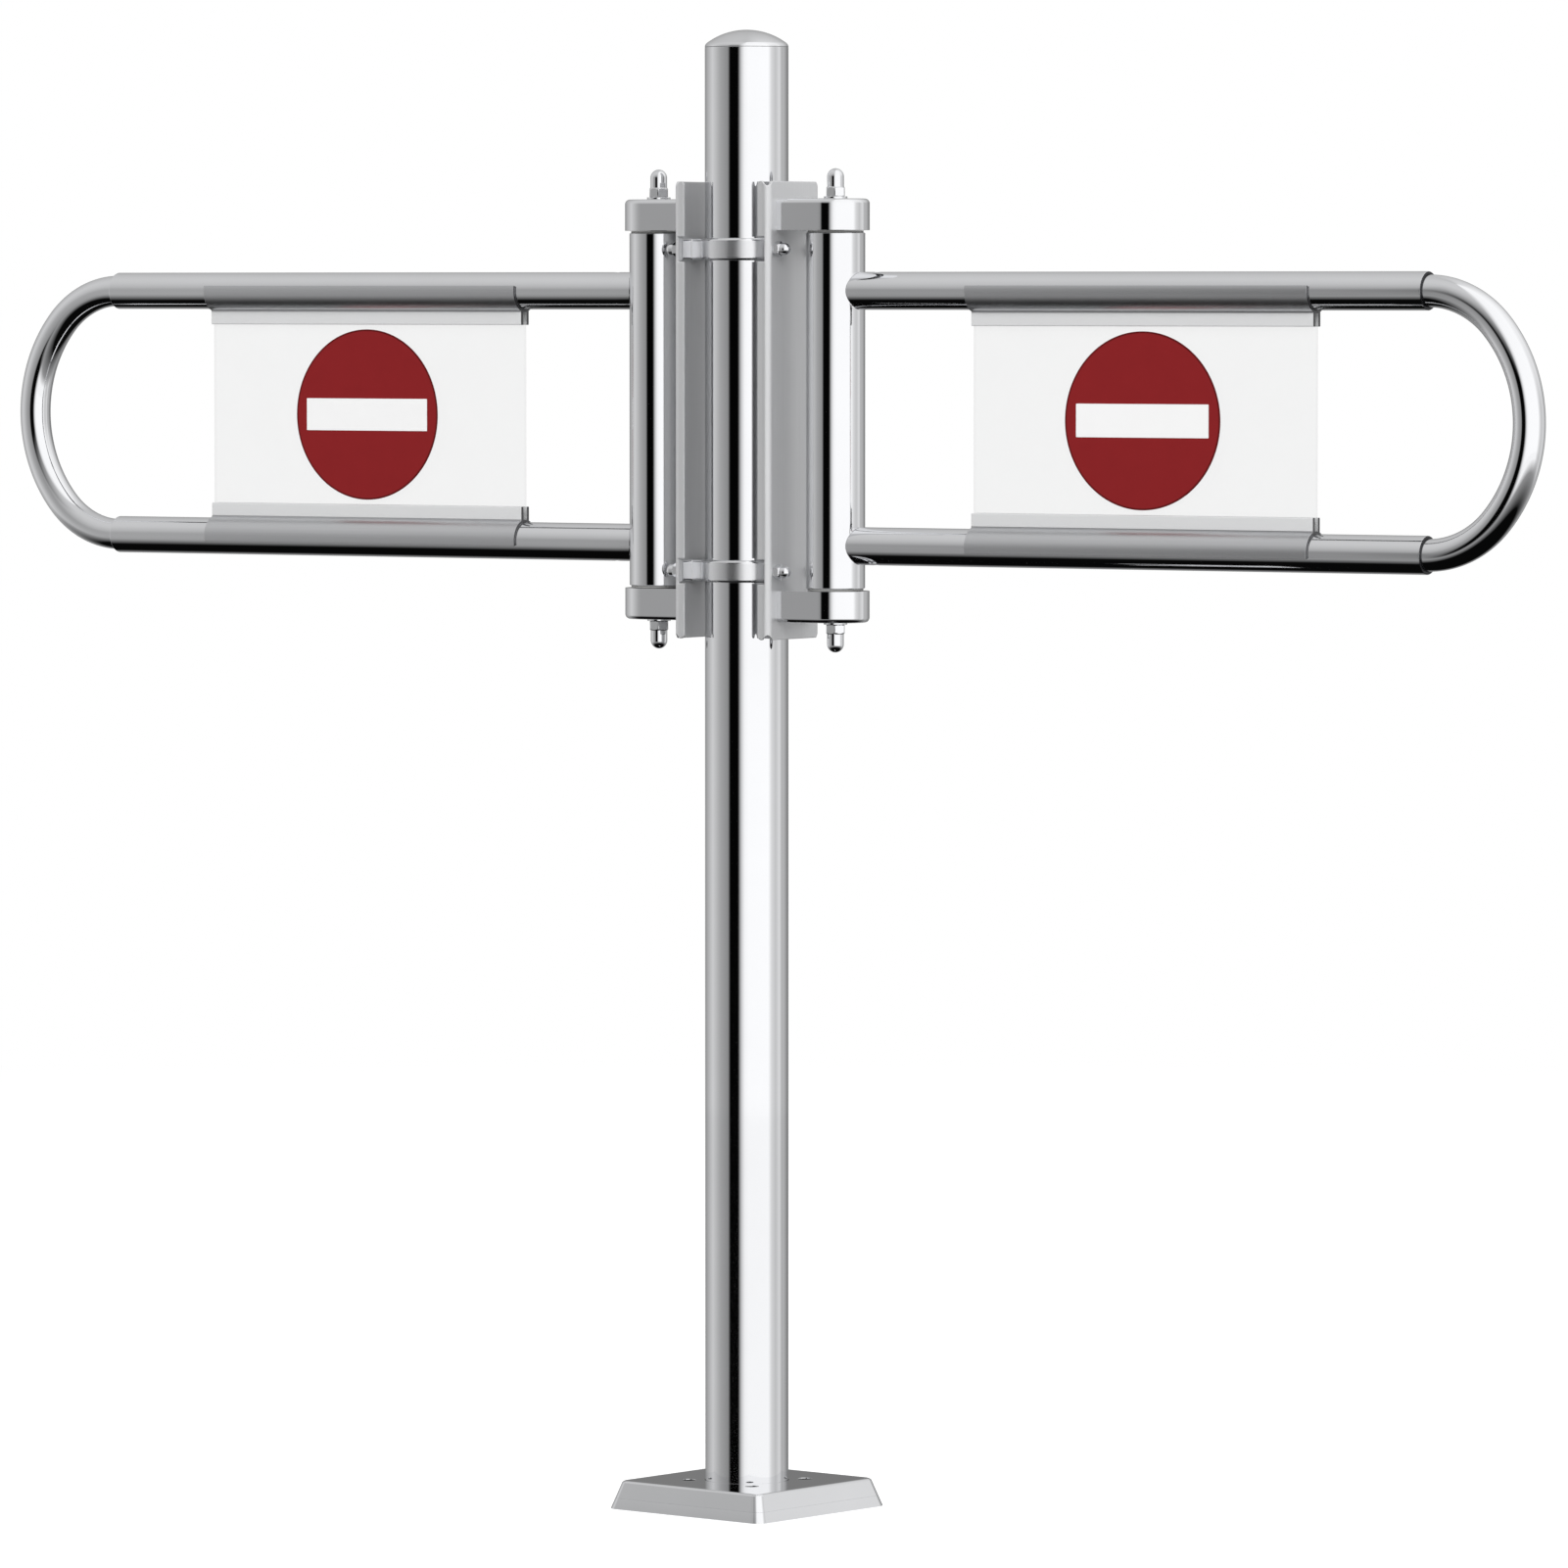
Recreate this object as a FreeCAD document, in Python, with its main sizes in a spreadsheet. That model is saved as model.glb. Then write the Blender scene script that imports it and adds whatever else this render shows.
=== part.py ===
"""Swing gate: one floor post that carries two self-closing wings with sign panels.

Millimetres and degrees. +Z is up, +X runs along the gate to the right wing, and the signs face -Y.
The origin is the middle of the base plate's underside, on the floor.
"""

import FreeCAD, Part
import math
import os
import re

import Sketcher

SIZES = {
    # Base on the floor
    "base_width": 144.5,
    "base_thickness": 8,
    "base_slope": 7,
    "base_corner_radius": 8,
    "base_corner_taper": 2,
    "base_turn": -8,
    "anchor_gap": 7,
    "anchor_hole": 10,
    "cover_height": 12.5,
    "cover_wall": 2,
    "cover_post_gap": 0.2,
    # Post and its cap
    "post_diameter": 60,
    "post_wall": 2,
    "post_top": 1052.5,
    "cap_rise": 12.5,
    "cap_shoulder": 4,
    "cap_skirt": 12,
    "cap_gap": 0.1,
    # Straps, studs and nuts that clamp the brackets to the post
    "clamp_gap": 5.5,
    "strap_height": 16,
    "strap_thickness": 2.5,
    "strap_gap": 0.15,
    "strap_ear_drop": 3.35,
    "strap_ear": 14,
    "stud_diameter": 6,
    "stud_setback": 4.5,
    "stud_gap": 0.2,
    "thread_gap": 0.05,
    "nut_end_gap": 0.8,
    "clamp_nut_across": 10,
    "clamp_nut_hex": 4.5,
    "clamp_nut_dome": 8.6,
    "clamp_nut_height": 11.5,
    # Bracket channels
    "bracket_post_gap": 8,
    "bracket_side_gap": 3.4,
    "bracket_overhang": 12.5,
    "bracket_sheet": 2.5,
    "bracket_bend": 5.5,
    "bracket_lip": 9.4,
    "bracket_corner": 3,
    "notch_depth": 5.6,
    "notch_gap": 1,
    # Hinge arms and their screws
    "hinge_standoff": 34.5,
    "arm_height": 22.5,
    "arm_width": 48.8,
    "arm_round": 3.5,
    "arm_screw_diameter": 6,
    "arm_screw_length": 16,
    "arm_screw_spacing": 24,
    "arm_screw_land": 0.3,
    # Axle, washers and cap nuts
    "axle_diameter": 12,
    "axle_end_diameter": 8,
    "axle_hole_gap": 0.1,
    "washer_diameter": 17,
    "washer_thickness": 1.6,
    "axle_nut_across": 13,
    "axle_nut_hex": 6.5,
    "axle_nut_dome": 12,
    "axle_nut_height": 20,
    # Hinge tube and bushes
    "hinge_tube_diameter": 42.4,
    "hinge_tube_wall": 2.6,
    "hinge_tube_above": 41.5,
    "hinge_tube_below": 30.5,
    "bush_flange": 1.5,
    "bush_flange_step": 1.2,
    "bush_length": 16,
    "bush_gap": 0.05,
    "running_gap": 0.05,
    "end_play": 0.3,
    # Closing spring between a collar on the axle and a driver in the tube
    "spring_wire": 4,
    "spring_side_gap": 3.6,
    "spring_pitch": 4.6,
    "spring_turns": 12,
    "spring_tang": 4.2,
    "spring_gap": 0.2,
    "collar_rim": 3.5,
    "collar_height": 12,
    "lug_width": 4.4,
    "lug_thickness": 3.5,
    "driver_bore_gap": 2,
    "driver_height": 12,
    # Rails, spigots and set screws
    "rail_diameter": 27,
    "rail_wall": 2,
    "rail_spacing": 182,
    "rail_height": 787,
    "rail_reach": 480,
    "saddle_gap": 0.1,
    "spigot_length": 40,
    "spigot_gap": 0.1,
    "set_screw_diameter": 5,
    "set_screw_length": 7,
    "set_screw_inset": 14,
    "set_screw_sink": 0.4,
    # End bows
    "bow_gap": 0.2,
    "bow_wall": 2,
    "bow_depth": 78,
    "bow_crown": 8,
    "bow_insert": 40,
    # Clips, panels and signs
    "clip_length": 276,
    "clip_middle": 254,
    "clip_wall": 1.8,
    "clip_gap": 0.1,
    "clip_wrap": 14.5,
    "clip_lip": 9.4,
    "clip_lip_wall": 3,
    "panel_thickness": 4,
    "panel_gap": 0.1,
    "disc_margin": 12.8,
    "disc_thickness": 0.5,
    "bar_margin": 9.2,
    "bar_height": 23.6,
    "bar_thickness": 0.3,
}

# Lengths that follow from the sizes
POST_RADIUS = "(post_diameter / 2)"
ANCHOR_RADIUS = f"({POST_RADIUS} + anchor_gap + anchor_hole / 2)"
COVER_TOP = "(base_thickness + cover_height)"
STRAP_BORE = f"({POST_RADIUS} + strap_gap)"
STRAP_RADIUS = f"({STRAP_BORE} + strap_thickness)"
EAR_TIP = f"({STRAP_RADIUS} - strap_ear_drop)"
WEB_INSIDE = f"({POST_RADIUS} + bracket_post_gap)"
WEB_FACE = f"({WEB_INSIDE} + bracket_sheet)"
BRACKET_LIP = f"({WEB_FACE} - bracket_lip)"
SCREW_SINK = "(bracket_sheet - arm_screw_land)"
BRACKET_WALL = f"({EAR_TIP} + bracket_side_gap)"
BRACKET_EDGE = f"({BRACKET_WALL} + bracket_sheet)"
HINGE_OFFSET = f"({WEB_FACE} + hinge_standoff)"
HINGE_RADIUS = "(hinge_tube_diameter / 2)"
HINGE_BORE = f"({HINGE_RADIUS} - hinge_tube_wall)"
RAIL_RADIUS = "(rail_diameter / 2)"
RAIL_BORE = f"({RAIL_RADIUS} - rail_wall)"
RAIL_UP = "(rail_height + rail_spacing / 2)"
RAIL_DOWN = "(rail_height - rail_spacing / 2)"
RAIL_END = f"({HINGE_OFFSET} + rail_reach)"
TUBE_TOP = f"({RAIL_UP} + hinge_tube_above)"
TUBE_FOOT = f"({RAIL_DOWN} - hinge_tube_below)"
ARM_GAP_TOP = f"({TUBE_TOP} + bush_flange + end_play)"
ARM_GAP_FOOT = f"({TUBE_FOOT} - bush_flange - end_play)"
ARMS_TOP = f"({ARM_GAP_TOP} + arm_height)"
ARMS_FOOT = f"({ARM_GAP_FOOT} - arm_height)"
HINGE_MIDDLE = f"(({ARM_GAP_TOP} + {ARM_GAP_FOOT}) / 2)"
AXLE_RADIUS = "(axle_diameter / 2)"
AXLE_END_RADIUS = "(axle_end_diameter / 2)"
SET_SCREW_PLACE = f"({HINGE_OFFSET} + {HINGE_RADIUS} + set_screw_inset)"
SPRING_RADIUS = f"({HINGE_BORE} - spring_side_gap - spring_wire / 2)"
SPRING_ROOM = "(spring_turns * spring_pitch + spring_wire + 2 * spring_gap)"
CLIP_BORE = f"({RAIL_RADIUS} + clip_gap)"
CLIP_RADIUS = f"({CLIP_BORE} + clip_wall)"
SIGN_PLACE = f"({HINGE_OFFSET} + clip_middle)"
PANEL_TOP = f"({RAIL_UP} - {CLIP_RADIUS} - panel_gap)"
PANEL_FOOT = f"({RAIL_DOWN} + {CLIP_RADIUS} + panel_gap)"
DISC_DIAMETER = f"({PANEL_TOP} - {PANEL_FOOT} - 2 * disc_margin)"

UP = FreeCAD.Vector(0, 0, 1)
TOUCH = 0.001
SIDES = {"right": 1, "left": -1}
LEVELS = {"upper": 1, "lower": -1}

doc = FreeCAD.newDocument("SwingGate")
sheet = doc.addObject("Spreadsheet::Sheet", "Sizes")
for row, (cell_name, cell_value) in enumerate(SIZES.items(), start=1):
    sheet.set(f"A{row}", cell_name)
    sheet.set(f"B{row}", str(cell_value))
    sheet.setAlias(f"B{row}", cell_name)
doc.recompute()

pieces = []


def in_sheet(text):
    """Formula with the sheet's name put before each of its cells."""
    return re.sub(r"[a-z_]+", lambda word: f"Sizes.{word[0]}" if word[0] in SIZES else word[0], text)


def bind(target, name, text):
    """Makes a property follow a formula of the sheet."""
    target.setExpression(name, in_sheet(text))


def number(text):
    """Present value of a formula."""
    return float(sheet.evalExpression(in_sheet(text)))


def keep(piece):
    """Lists a finished piece for its own file."""
    pieces.append(piece)
    return piece


def place(piece, x="0", y="0", z="0", turn=0, axis=UP):
    """Turns a piece about an axis and moves it to a place that follows the sheet."""
    piece.Placement = FreeCAD.Placement(FreeCAD.Vector(), FreeCAD.Rotation(axis, turn))
    bind(piece, "Placement.Base.x", x)
    bind(piece, "Placement.Base.y", y)
    bind(piece, "Placement.Base.z", z)
    return piece


def half_turn(side):
    """The left side is the right side turned half round about the post."""
    return 0 if side == "right" else 180


def new_sketch(body, plane, lift="0"):
    """Sketch on one of the body's own planes, moved along its normal."""
    sketch = body.newObject("Sketcher::SketchObject", f"{body.Name}_sketch")
    support = next(feature for feature in body.Origin.OriginFeatures if feature.Role == plane)
    sketch.AttachmentSupport = [(support, "")]
    sketch.MapMode = "FlatFace"
    bind(sketch, "AttachmentOffset.Base.z", lift)
    return sketch


def dimension(sketch, kind, places, text):
    """Named dimension of a sketch that follows a formula."""
    index = sketch.addConstraint(Sketcher.Constraint(kind, *places, number(text)))
    sketch.renameConstraint(index, f"size_{index}")
    bind(sketch, f"Constraints.size_{index}", text)


def arc_between(start, end, radius, left):
    """Arc of less than half a circle from start to end that turns left or right."""
    chord = end - start
    depth = math.sqrt(max(radius ** 2 - (chord.Length / 2) ** 2, 0))
    aside = FreeCAD.Vector(-chord.y, chord.x, 0) / chord.Length
    centre = (start + end) / 2 + aside * (depth if left else -depth)
    angles = [math.atan2(point.y - centre.y, point.x - centre.x) for point in (start, end)]
    if not left:
        angles.reverse()
    return Part.ArcOfCircle(Part.Circle(centre, UP, radius), *angles)


def draw(sketch, corners, closed=True):
    """Draws an outline. A corner is (x, y), or (x, y, "left" or "right", radius) at the end of an arc."""
    points = [FreeCAD.Vector(number(corner[0]), number(corner[1]), 0) for corner in corners]
    ends = []
    for index in range(0 if closed else 1, len(corners)):
        start, end = points[index - 1], points[index]
        if len(corners[index]) == 2:
            edge = sketch.addGeometry(Part.LineSegment(start, end))
            ends.append((edge, 1, 2))
            continue
        left = corners[index][2] == "left"
        edge = sketch.addGeometry(arc_between(start, end, number(corners[index][3]), left))
        ends.append((edge, 1, 2) if left else (edge, 2, 1))
        dimension(sketch, "Radius", (edge,), corners[index][3])
    for index, (edge, first, last) in enumerate(ends):
        before = ends[index - 1]
        if closed or index:
            sketch.addConstraint(Sketcher.Constraint("Coincident", before[0], before[2], edge, first))
        else:
            dimension(sketch, "DistanceX", (-1, 1, edge, first), corners[0][0])
            dimension(sketch, "DistanceY", (-1, 1, edge, first), corners[0][1])
        corner = corners[index if closed else index + 1]
        dimension(sketch, "DistanceX", (-1, 1, edge, last), corner[0])
        dimension(sketch, "DistanceY", (-1, 1, edge, last), corner[1])


def draw_circle(sketch, x, y, diameter):
    """Draws a full circle."""
    circle = Part.Circle(FreeCAD.Vector(number(x), number(y), 0), UP, number(diameter) / 2)
    edge = sketch.addGeometry(circle)
    dimension(sketch, "Diameter", (edge,), diameter)
    dimension(sketch, "DistanceX", (-1, 1, edge, 3), x)
    dimension(sketch, "DistanceY", (-1, 1, edge, 3), y)


def rectangle(x0, y0, x1, y1):
    """Corners of a rectangle."""
    return [(x0, y0), (x1, y0), (x1, y1), (x0, y1)]


def rounded_square(width, radius):
    """Corners of a rounded square about the origin."""
    edge = f"({width}) / 2"
    flat = f"({width}) / 2 - ({radius})"
    return [
        (f"-({flat})", f"-({edge})", "left", radius),
        (flat, f"-({edge})"),
        (edge, f"-({flat})", "left", radius),
        (edge, flat),
        (flat, edge, "left", radius),
        (f"-({flat})", edge),
        (f"-({edge})", flat, "left", radius),
        (f"-({edge})", f"-({flat})"),
    ]


def extruded(name, plane, lift, length, corners):
    """Body with one outline pulled along a plane's normal."""
    body = doc.addObject("PartDesign::Body", name)
    sketch = new_sketch(body, plane, lift)
    draw(sketch, corners)
    pad = body.newObject("PartDesign::Pad", f"{name}_pad")
    pad.Profile = sketch
    bind(pad, "Length", length)
    return body


def turned(name, corners):
    """Body turned from an outline of radius and height."""
    body = doc.addObject("PartDesign::Body", name)
    add_turned(body, corners)
    return body


def add_turned(body, corners):
    """Adds a turned form to a body."""
    sketch = new_sketch(body, "XZ_Plane")
    draw(sketch, corners)
    form = body.newObject("PartDesign::Revolution", f"{body.Name}_turning")
    form.Profile = sketch
    form.ReferenceAxis = (sketch, ["V_Axis"])
    form.Angle = 360


def ring(name, bore, radius, foot, top):
    """Turned ring between two heights."""
    return turned(name, rectangle(bore, foot, radius, top))


def cut_into(body, plane, lift, depth, circles, reverse=False):
    """Cuts round holes of one depth into a body from a lifted plane."""
    sketch = new_sketch(body, plane, lift)
    for circle in circles:
        draw_circle(sketch, *circle)
    finish_cut(body, sketch, depth, reverse)


def finish_cut(body, sketch, depth, reverse=False, both_ways=False):
    """Pockets a sketch into a body and checks that it took material away."""
    doc.recompute()
    before = body.Shape.Volume
    pocket = body.newObject("PartDesign::Pocket", f"{body.Name}_pocket")
    pocket.Profile = sketch
    pocket.Reversed = reverse
    pocket.SideType = "Symmetric" if both_ways else "One side"
    bind(pocket, "Length", depth)
    doc.recompute()
    if not body.Shape.Volume < before:
        raise RuntimeError(f"{body.Label}: the cut takes nothing away")


def round_edges(body, radius, chosen):
    """Rounds those edges of the body's last feature that the test picks."""
    dress_edges(body, "PartDesign::Fillet", "Radius", radius, chosen)


def sink_edges(body, depth, chosen):
    """Sinks those edges of the body's last feature that the test picks, at 45 degrees."""
    dress_edges(body, "PartDesign::Chamfer", "Size", depth, chosen)


def dress_edges(body, kind, measure, size, chosen):
    """Rounds or sinks the edges of the body's last feature that the test picks."""
    doc.recompute()
    last = body.Tip
    names = [f"Edge{index}" for index, edge in enumerate(last.Shape.Edges, start=1) if chosen(edge)]
    dressing = body.newObject(kind, f"{body.Name}_edges")
    dressing.Base = (last, names)
    bind(dressing, measure, size)


def group(name, members):
    """Like pieces that share one file as separate solids."""
    compound = doc.addObject("Part::Compound", name)
    compound.Links = members
    return keep(compound)


def rod(name, radius, start, end, height="0", depth="0"):
    """Round bar along X between two distances from the post."""
    bar = doc.addObject("Part::Cylinder", name)
    bind(bar, "Radius", radius)
    bind(bar, "Height", f"{end} - ({start})")
    return place(bar, start, depth, height, 90, FreeCAD.Vector(0, 1, 0))


def pillar(name, radius, foot, top, x="0", y="0"):
    """Round bar along Z between two heights."""
    bar = doc.addObject("Part::Cylinder", name)
    bind(bar, "Radius", radius)
    bind(bar, "Height", f"{top} - ({foot})")
    return place(bar, x, y, foot)


def block(name, low, high):
    """Box between two corners."""
    box = doc.addObject("Part::Box", name)
    for side, least, most in zip(("Length", "Width", "Height"), low, high):
        bind(box, side, f"{most} - ({least})")
    return place(box, *low)


def cut(name, base, *tools):
    """Base with the tools cut out of it, one after the other."""
    for index, tool in enumerate(tools, start=1):
        result = doc.addObject("Part::Cut", name if index == len(tools) else f"{name}_cut")
        result.Base = base
        result.Tool = tool
        base = result
    return base


def fuse(name, base, tool):
    """Two forms made into one solid."""
    result = doc.addObject("Part::Fuse", name)
    result.Base = base
    result.Tool = tool
    return result


def cap_nut(name, size, bore):
    """Hexagon cap nut on its seat at z = 0: flat sides, a barrel, a round end and a blind bore."""
    across, hexagon, dome, height = (f"{size}_{part}" for part in ("across", "hex", "dome", "height"))
    point = f"{across} / sqrt(3)"
    corners = [(f"{point} * cos({angle})", f"{point} * sin({angle})") for angle in range(0, 360, 60)]
    nut = extruded(name, "XY_Plane", "0", hexagon, corners)
    shoulder = f"{height} - {dome} / 2"
    add_turned(nut, [("0", "0"), (f"{dome} / 2", "0"), (f"{dome} / 2", shoulder),
                     ("0", height, "left", f"{dome} / 2")])
    cut_into(nut, "XY_Plane", "0", shoulder, [("0", "0", f"{bore} + 2 * thread_gap")], reverse=True)
    return nut


def thread_reach(size):
    """Length of thread that a cap nut takes."""
    return f"({size}_height - {size}_dome / 2 - nut_end_gap)"


def add_slope(body, kind, foot, top, wall="0"):
    """Adds, or takes away, the base's sloping form between two heights, a wall inside its outline."""
    sketches = []
    for height, lift in ((foot, foot), (top, f"{top} - {wall}")):
        share = f"{height} / {COVER_TOP}"
        width = f"base_width - 2 * (base_slope * {share} + {wall})"
        radius = f"base_corner_radius - base_corner_taper * {share} - {wall}"
        sketches.append(new_sketch(body, "XY_Plane", lift))
        draw(sketches[-1], rounded_square(width, radius))
    slope = body.newObject(kind, f"{body.Name}_slope")
    slope.Profile = sketches[0]
    slope.Sections = sketches[1:]


def make_base():
    """Floor plate and the hollow cover on it, whose sides slope as one, turned a little on the floor."""
    spot = f"{ANCHOR_RADIUS} / sqrt(2)"
    anchors = [(x, y, "anchor_hole") for x in (spot, f"-{spot}") for y in (spot, f"-{spot}")]
    plate = doc.addObject("PartDesign::Body", "base_plate")
    add_slope(plate, "PartDesign::AdditiveLoft", "0", "base_thickness")
    cut_into(plate, "XY_Plane", "base_thickness", "base_thickness", anchors)

    cover = doc.addObject("PartDesign::Body", "base_cover")
    add_slope(cover, "PartDesign::AdditiveLoft", "base_thickness", COVER_TOP)
    add_slope(cover, "PartDesign::SubtractiveLoft", "base_thickness", COVER_TOP, "cover_wall")
    post_hole = ("0", "0", "post_diameter + 2 * cover_post_gap")
    cut_into(cover, "XY_Plane", COVER_TOP, "cover_height", [post_hole] + anchors)
    for piece in (plate, cover):
        keep(place(piece))
        bind(piece, "Placement.Rotation.Angle", "base_turn")


def make_post():
    """Round post and its domed cap, with a skirt and a round shoulder that runs into the dome."""
    bore = f"{POST_RADIUS} - post_wall"
    keep(ring("post_tube", bore, POST_RADIUS, "base_thickness", "post_top"))
    middle = f"({POST_RADIUS} - cap_shoulder)"
    dome = f"(({middle}^2 + cap_rise^2 - cap_shoulder^2) / (2 * (cap_rise - cap_shoulder)))"
    share = f"cap_shoulder / ({dome} - cap_shoulder)"
    skirt = f"{bore} - cap_gap"
    cap = turned("post_cap", [
        ("0", "-cap_skirt"), (skirt, "-cap_skirt"), (skirt, "0"), (POST_RADIUS, "0"),
        (f"{middle} * (1 + {share})", f"({dome} - cap_rise) * {share}", "left", "cap_shoulder"),
        ("0", "cap_rise", "left", dome),
    ])
    keep(place(cap, z="post_top"))


def clamp_level(level):
    """Height of the middle of a strap."""
    edge = "clamp_gap + strap_height / 2"
    return f"({ARM_GAP_TOP} - ({edge}))" if level == "upper" else f"({ARM_GAP_FOOT} + {edge})"


def make_straps():
    """Four straps, each an arc on the post, two short flats and two ears out along the brackets' webs."""
    root = f"({EAR_TIP} - strap_ear)"
    flat = f"({root} + strap_thickness)"
    crease = f"sqrt({STRAP_RADIUS}^2 - {flat}^2)"
    inner_crease = f"sqrt({STRAP_BORE}^2 - {root}^2)"
    ear_face = f"({WEB_INSIDE} - strap_thickness)"
    corners = [
        (WEB_INSIDE, root), (WEB_INSIDE, EAR_TIP), (ear_face, EAR_TIP), (ear_face, flat), (crease, flat),
        (f"-{crease}", flat, "left", STRAP_RADIUS),
        (f"-{ear_face}", flat), (f"-{ear_face}", EAR_TIP), (f"-{WEB_INSIDE}", EAR_TIP),
        (f"-{WEB_INSIDE}", root), (f"-{inner_crease}", root),
        (inner_crease, root, "right", STRAP_BORE),
    ]
    for level in LEVELS:
        foot = f"{clamp_level(level)} - strap_height / 2"
        for way, turn in {"rear": 0, "front": 180}.items():
            strap = extruded(f"clamp_strap_{way}_{level}", "XY_Plane", foot, "strap_height", corners)
            keep(place(strap, turn=turn))


def stud_places():
    """Side, depth and height of each stud, in signs and formulas."""
    depth = f"({EAR_TIP} - stud_setback)"
    return [(side, f"{way} * {depth}", clamp_level(level))
            for side in SIDES.values() for way in (1, -1) for level in LEVELS]


def make_clamp_fasteners():
    """Weld studs that run from the strap ears through the webs, and the cap nuts on them."""
    along_x = FreeCAD.Vector(0, 1, 0)
    studs, nuts = [], []
    for side, depth, height in stud_places():
        stud = doc.addObject("Part::Cylinder", "clamp_stud")
        bind(stud, "Radius", "stud_diameter / 2")
        bind(stud, "Height", f"bracket_sheet + {thread_reach('clamp_nut')}")
        studs.append(place(stud, f"{side} * {WEB_INSIDE}", depth, height, side * 90, along_x))
        nut = cap_nut("clamp_nut", "clamp_nut", "stud_diameter")
        nuts.append(place(nut, f"{side} * {WEB_FACE}", depth, height, side * 90, along_x))
    group("clamp_studs", studs)
    group("clamp_nuts", nuts)


def on_lip_corner(edge):
    """Edges through the sheet at the four free corners of a bracket's lips."""
    box = edge.BoundBox
    return box.XLength < TOUCH and box.ZLength < TOUCH and abs(box.XMin - number(BRACKET_LIP)) < TOUCH


def on_screw_sink(edge):
    """Rims of the arm screws' holes on the inside of a bracket's web."""
    box = edge.BoundBox
    inside = box.XLength < TOUCH and abs(box.XMin - number(WEB_INSIDE)) < TOUCH
    return inside and abs(abs(box.Center.y) - number("arm_screw_spacing / 2")) < TOUCH


def make_bracket(side):
    """Folded channel with lips towards the post, notched at the straps and drilled for studs and screws."""
    lip, bend = BRACKET_LIP, f"({WEB_FACE} - bracket_bend)"
    flat, inner = f"({BRACKET_EDGE} - bracket_bend)", "(bracket_bend - bracket_sheet)"
    corners = [
        (lip, f"-{BRACKET_EDGE}"), (bend, f"-{BRACKET_EDGE}"),
        (WEB_FACE, f"-{flat}", "left", "bracket_bend"), (WEB_FACE, flat),
        (bend, BRACKET_EDGE, "left", "bracket_bend"), (lip, BRACKET_EDGE), (lip, BRACKET_WALL),
        (bend, BRACKET_WALL), (WEB_INSIDE, flat, "right", inner), (WEB_INSIDE, f"-{flat}"),
        (bend, f"-{BRACKET_WALL}", "right", inner), (lip, f"-{BRACKET_WALL}"),
    ]
    foot = f"{ARMS_FOOT} - bracket_overhang"
    height = f"{ARMS_TOP} - {ARMS_FOOT} + 2 * bracket_overhang"
    channel = extruded(f"{side}_bracket_channel", "XY_Plane", foot, height, corners)
    round_edges(channel, "bracket_corner", on_lip_corner)
    notches = new_sketch(channel, "XZ_Plane")
    for level in LEVELS:
        half = "(strap_height / 2 + notch_gap)"
        draw(notches, rectangle(f"{lip} - notch_gap", f"{clamp_level(level)} - {half}",
                                f"{lip} + notch_depth", f"{clamp_level(level)} + {half}"))
    finish_cut(channel, notches, f"2 * ({BRACKET_EDGE} + notch_gap)", both_ways=True)
    holes = [(depth, height, "stud_diameter + 2 * stud_gap")
             for sign, depth, height in stud_places() if sign == SIDES["right"]]
    holes += [(depth, height, "arm_screw_diameter + 2 * stud_gap") for depth, height in screw_places()]
    cut_into(channel, "YZ_Plane", WEB_FACE, "bracket_sheet", holes)
    sink_edges(channel, SCREW_SINK, on_screw_sink)
    keep(place(channel, turn=half_turn(side)))


def arm_level(level):
    """Height of the middle of an arm."""
    return f"({ARMS_TOP} - arm_height / 2)" if level == "upper" else f"({ARMS_FOOT} + arm_height / 2)"


def screw_places(levels=tuple(LEVELS)):
    """Depth and height of the screws that hold the arms."""
    return [(f"{way} * arm_screw_spacing / 2", arm_level(level)) for level in levels for way in (1, -1)]


def on_arm_rim(edge, level):
    """Edges of an arm's side away from the hinge tube, apart from the edge on the web."""
    box = edge.BoundBox
    outer = number(ARMS_TOP if level == "upper" else ARMS_FOOT)
    return box.ZLength < TOUCH and box.XLength > TOUCH and abs(box.ZMin - outer) < TOUCH


def make_arms(side):
    """Two blocks with round ends that hold the axle, and the sunk screws that hold them on the web."""
    half = "(arm_width / 2)"
    corners = [
        (WEB_FACE, f"-{half}"), (HINGE_OFFSET, f"-{half}"),
        (f"{HINGE_OFFSET} + {half}", "0", "left", half), (HINGE_OFFSET, half, "left", half),
        (WEB_FACE, half),
    ]
    hole = (HINGE_OFFSET, "0", "axle_end_diameter + 2 * axle_hole_gap")
    for level in LEVELS:
        foot = f"{arm_level(level)} - arm_height / 2"
        arm = extruded(f"{side}_{level}_arm", "XY_Plane", foot, "arm_height", corners)
        round_edges(arm, "arm_round", lambda edge: on_arm_rim(edge, level))
        cut_into(arm, "XY_Plane", f"{arm_level(level)} + arm_height / 2", "arm_height", [hole])
        holes = [(depth, height, "arm_screw_diameter + 2 * thread_gap")
                 for depth, height in screw_places([level])]
        cut_into(arm, "YZ_Plane", WEB_FACE, "arm_screw_length", holes, reverse=True)
        keep(place(arm, turn=half_turn(side)))

    shank, tip = "arm_screw_diameter / 2", "bracket_sheet + arm_screw_length"
    corners = [("0", "0"), (f"{shank} + {SCREW_SINK}", "0"), (shank, SCREW_SINK), (shank, tip), ("0", tip)]
    screws = []
    for depth, height in screw_places():
        screw = turned("arm_screw", corners)
        screws.append(place(screw, WEB_INSIDE, depth, height, 90, FreeCAD.Vector(0, 1, 0)))
    place(group(f"{side}_arm_screws", screws), turn=half_turn(side))


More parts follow.
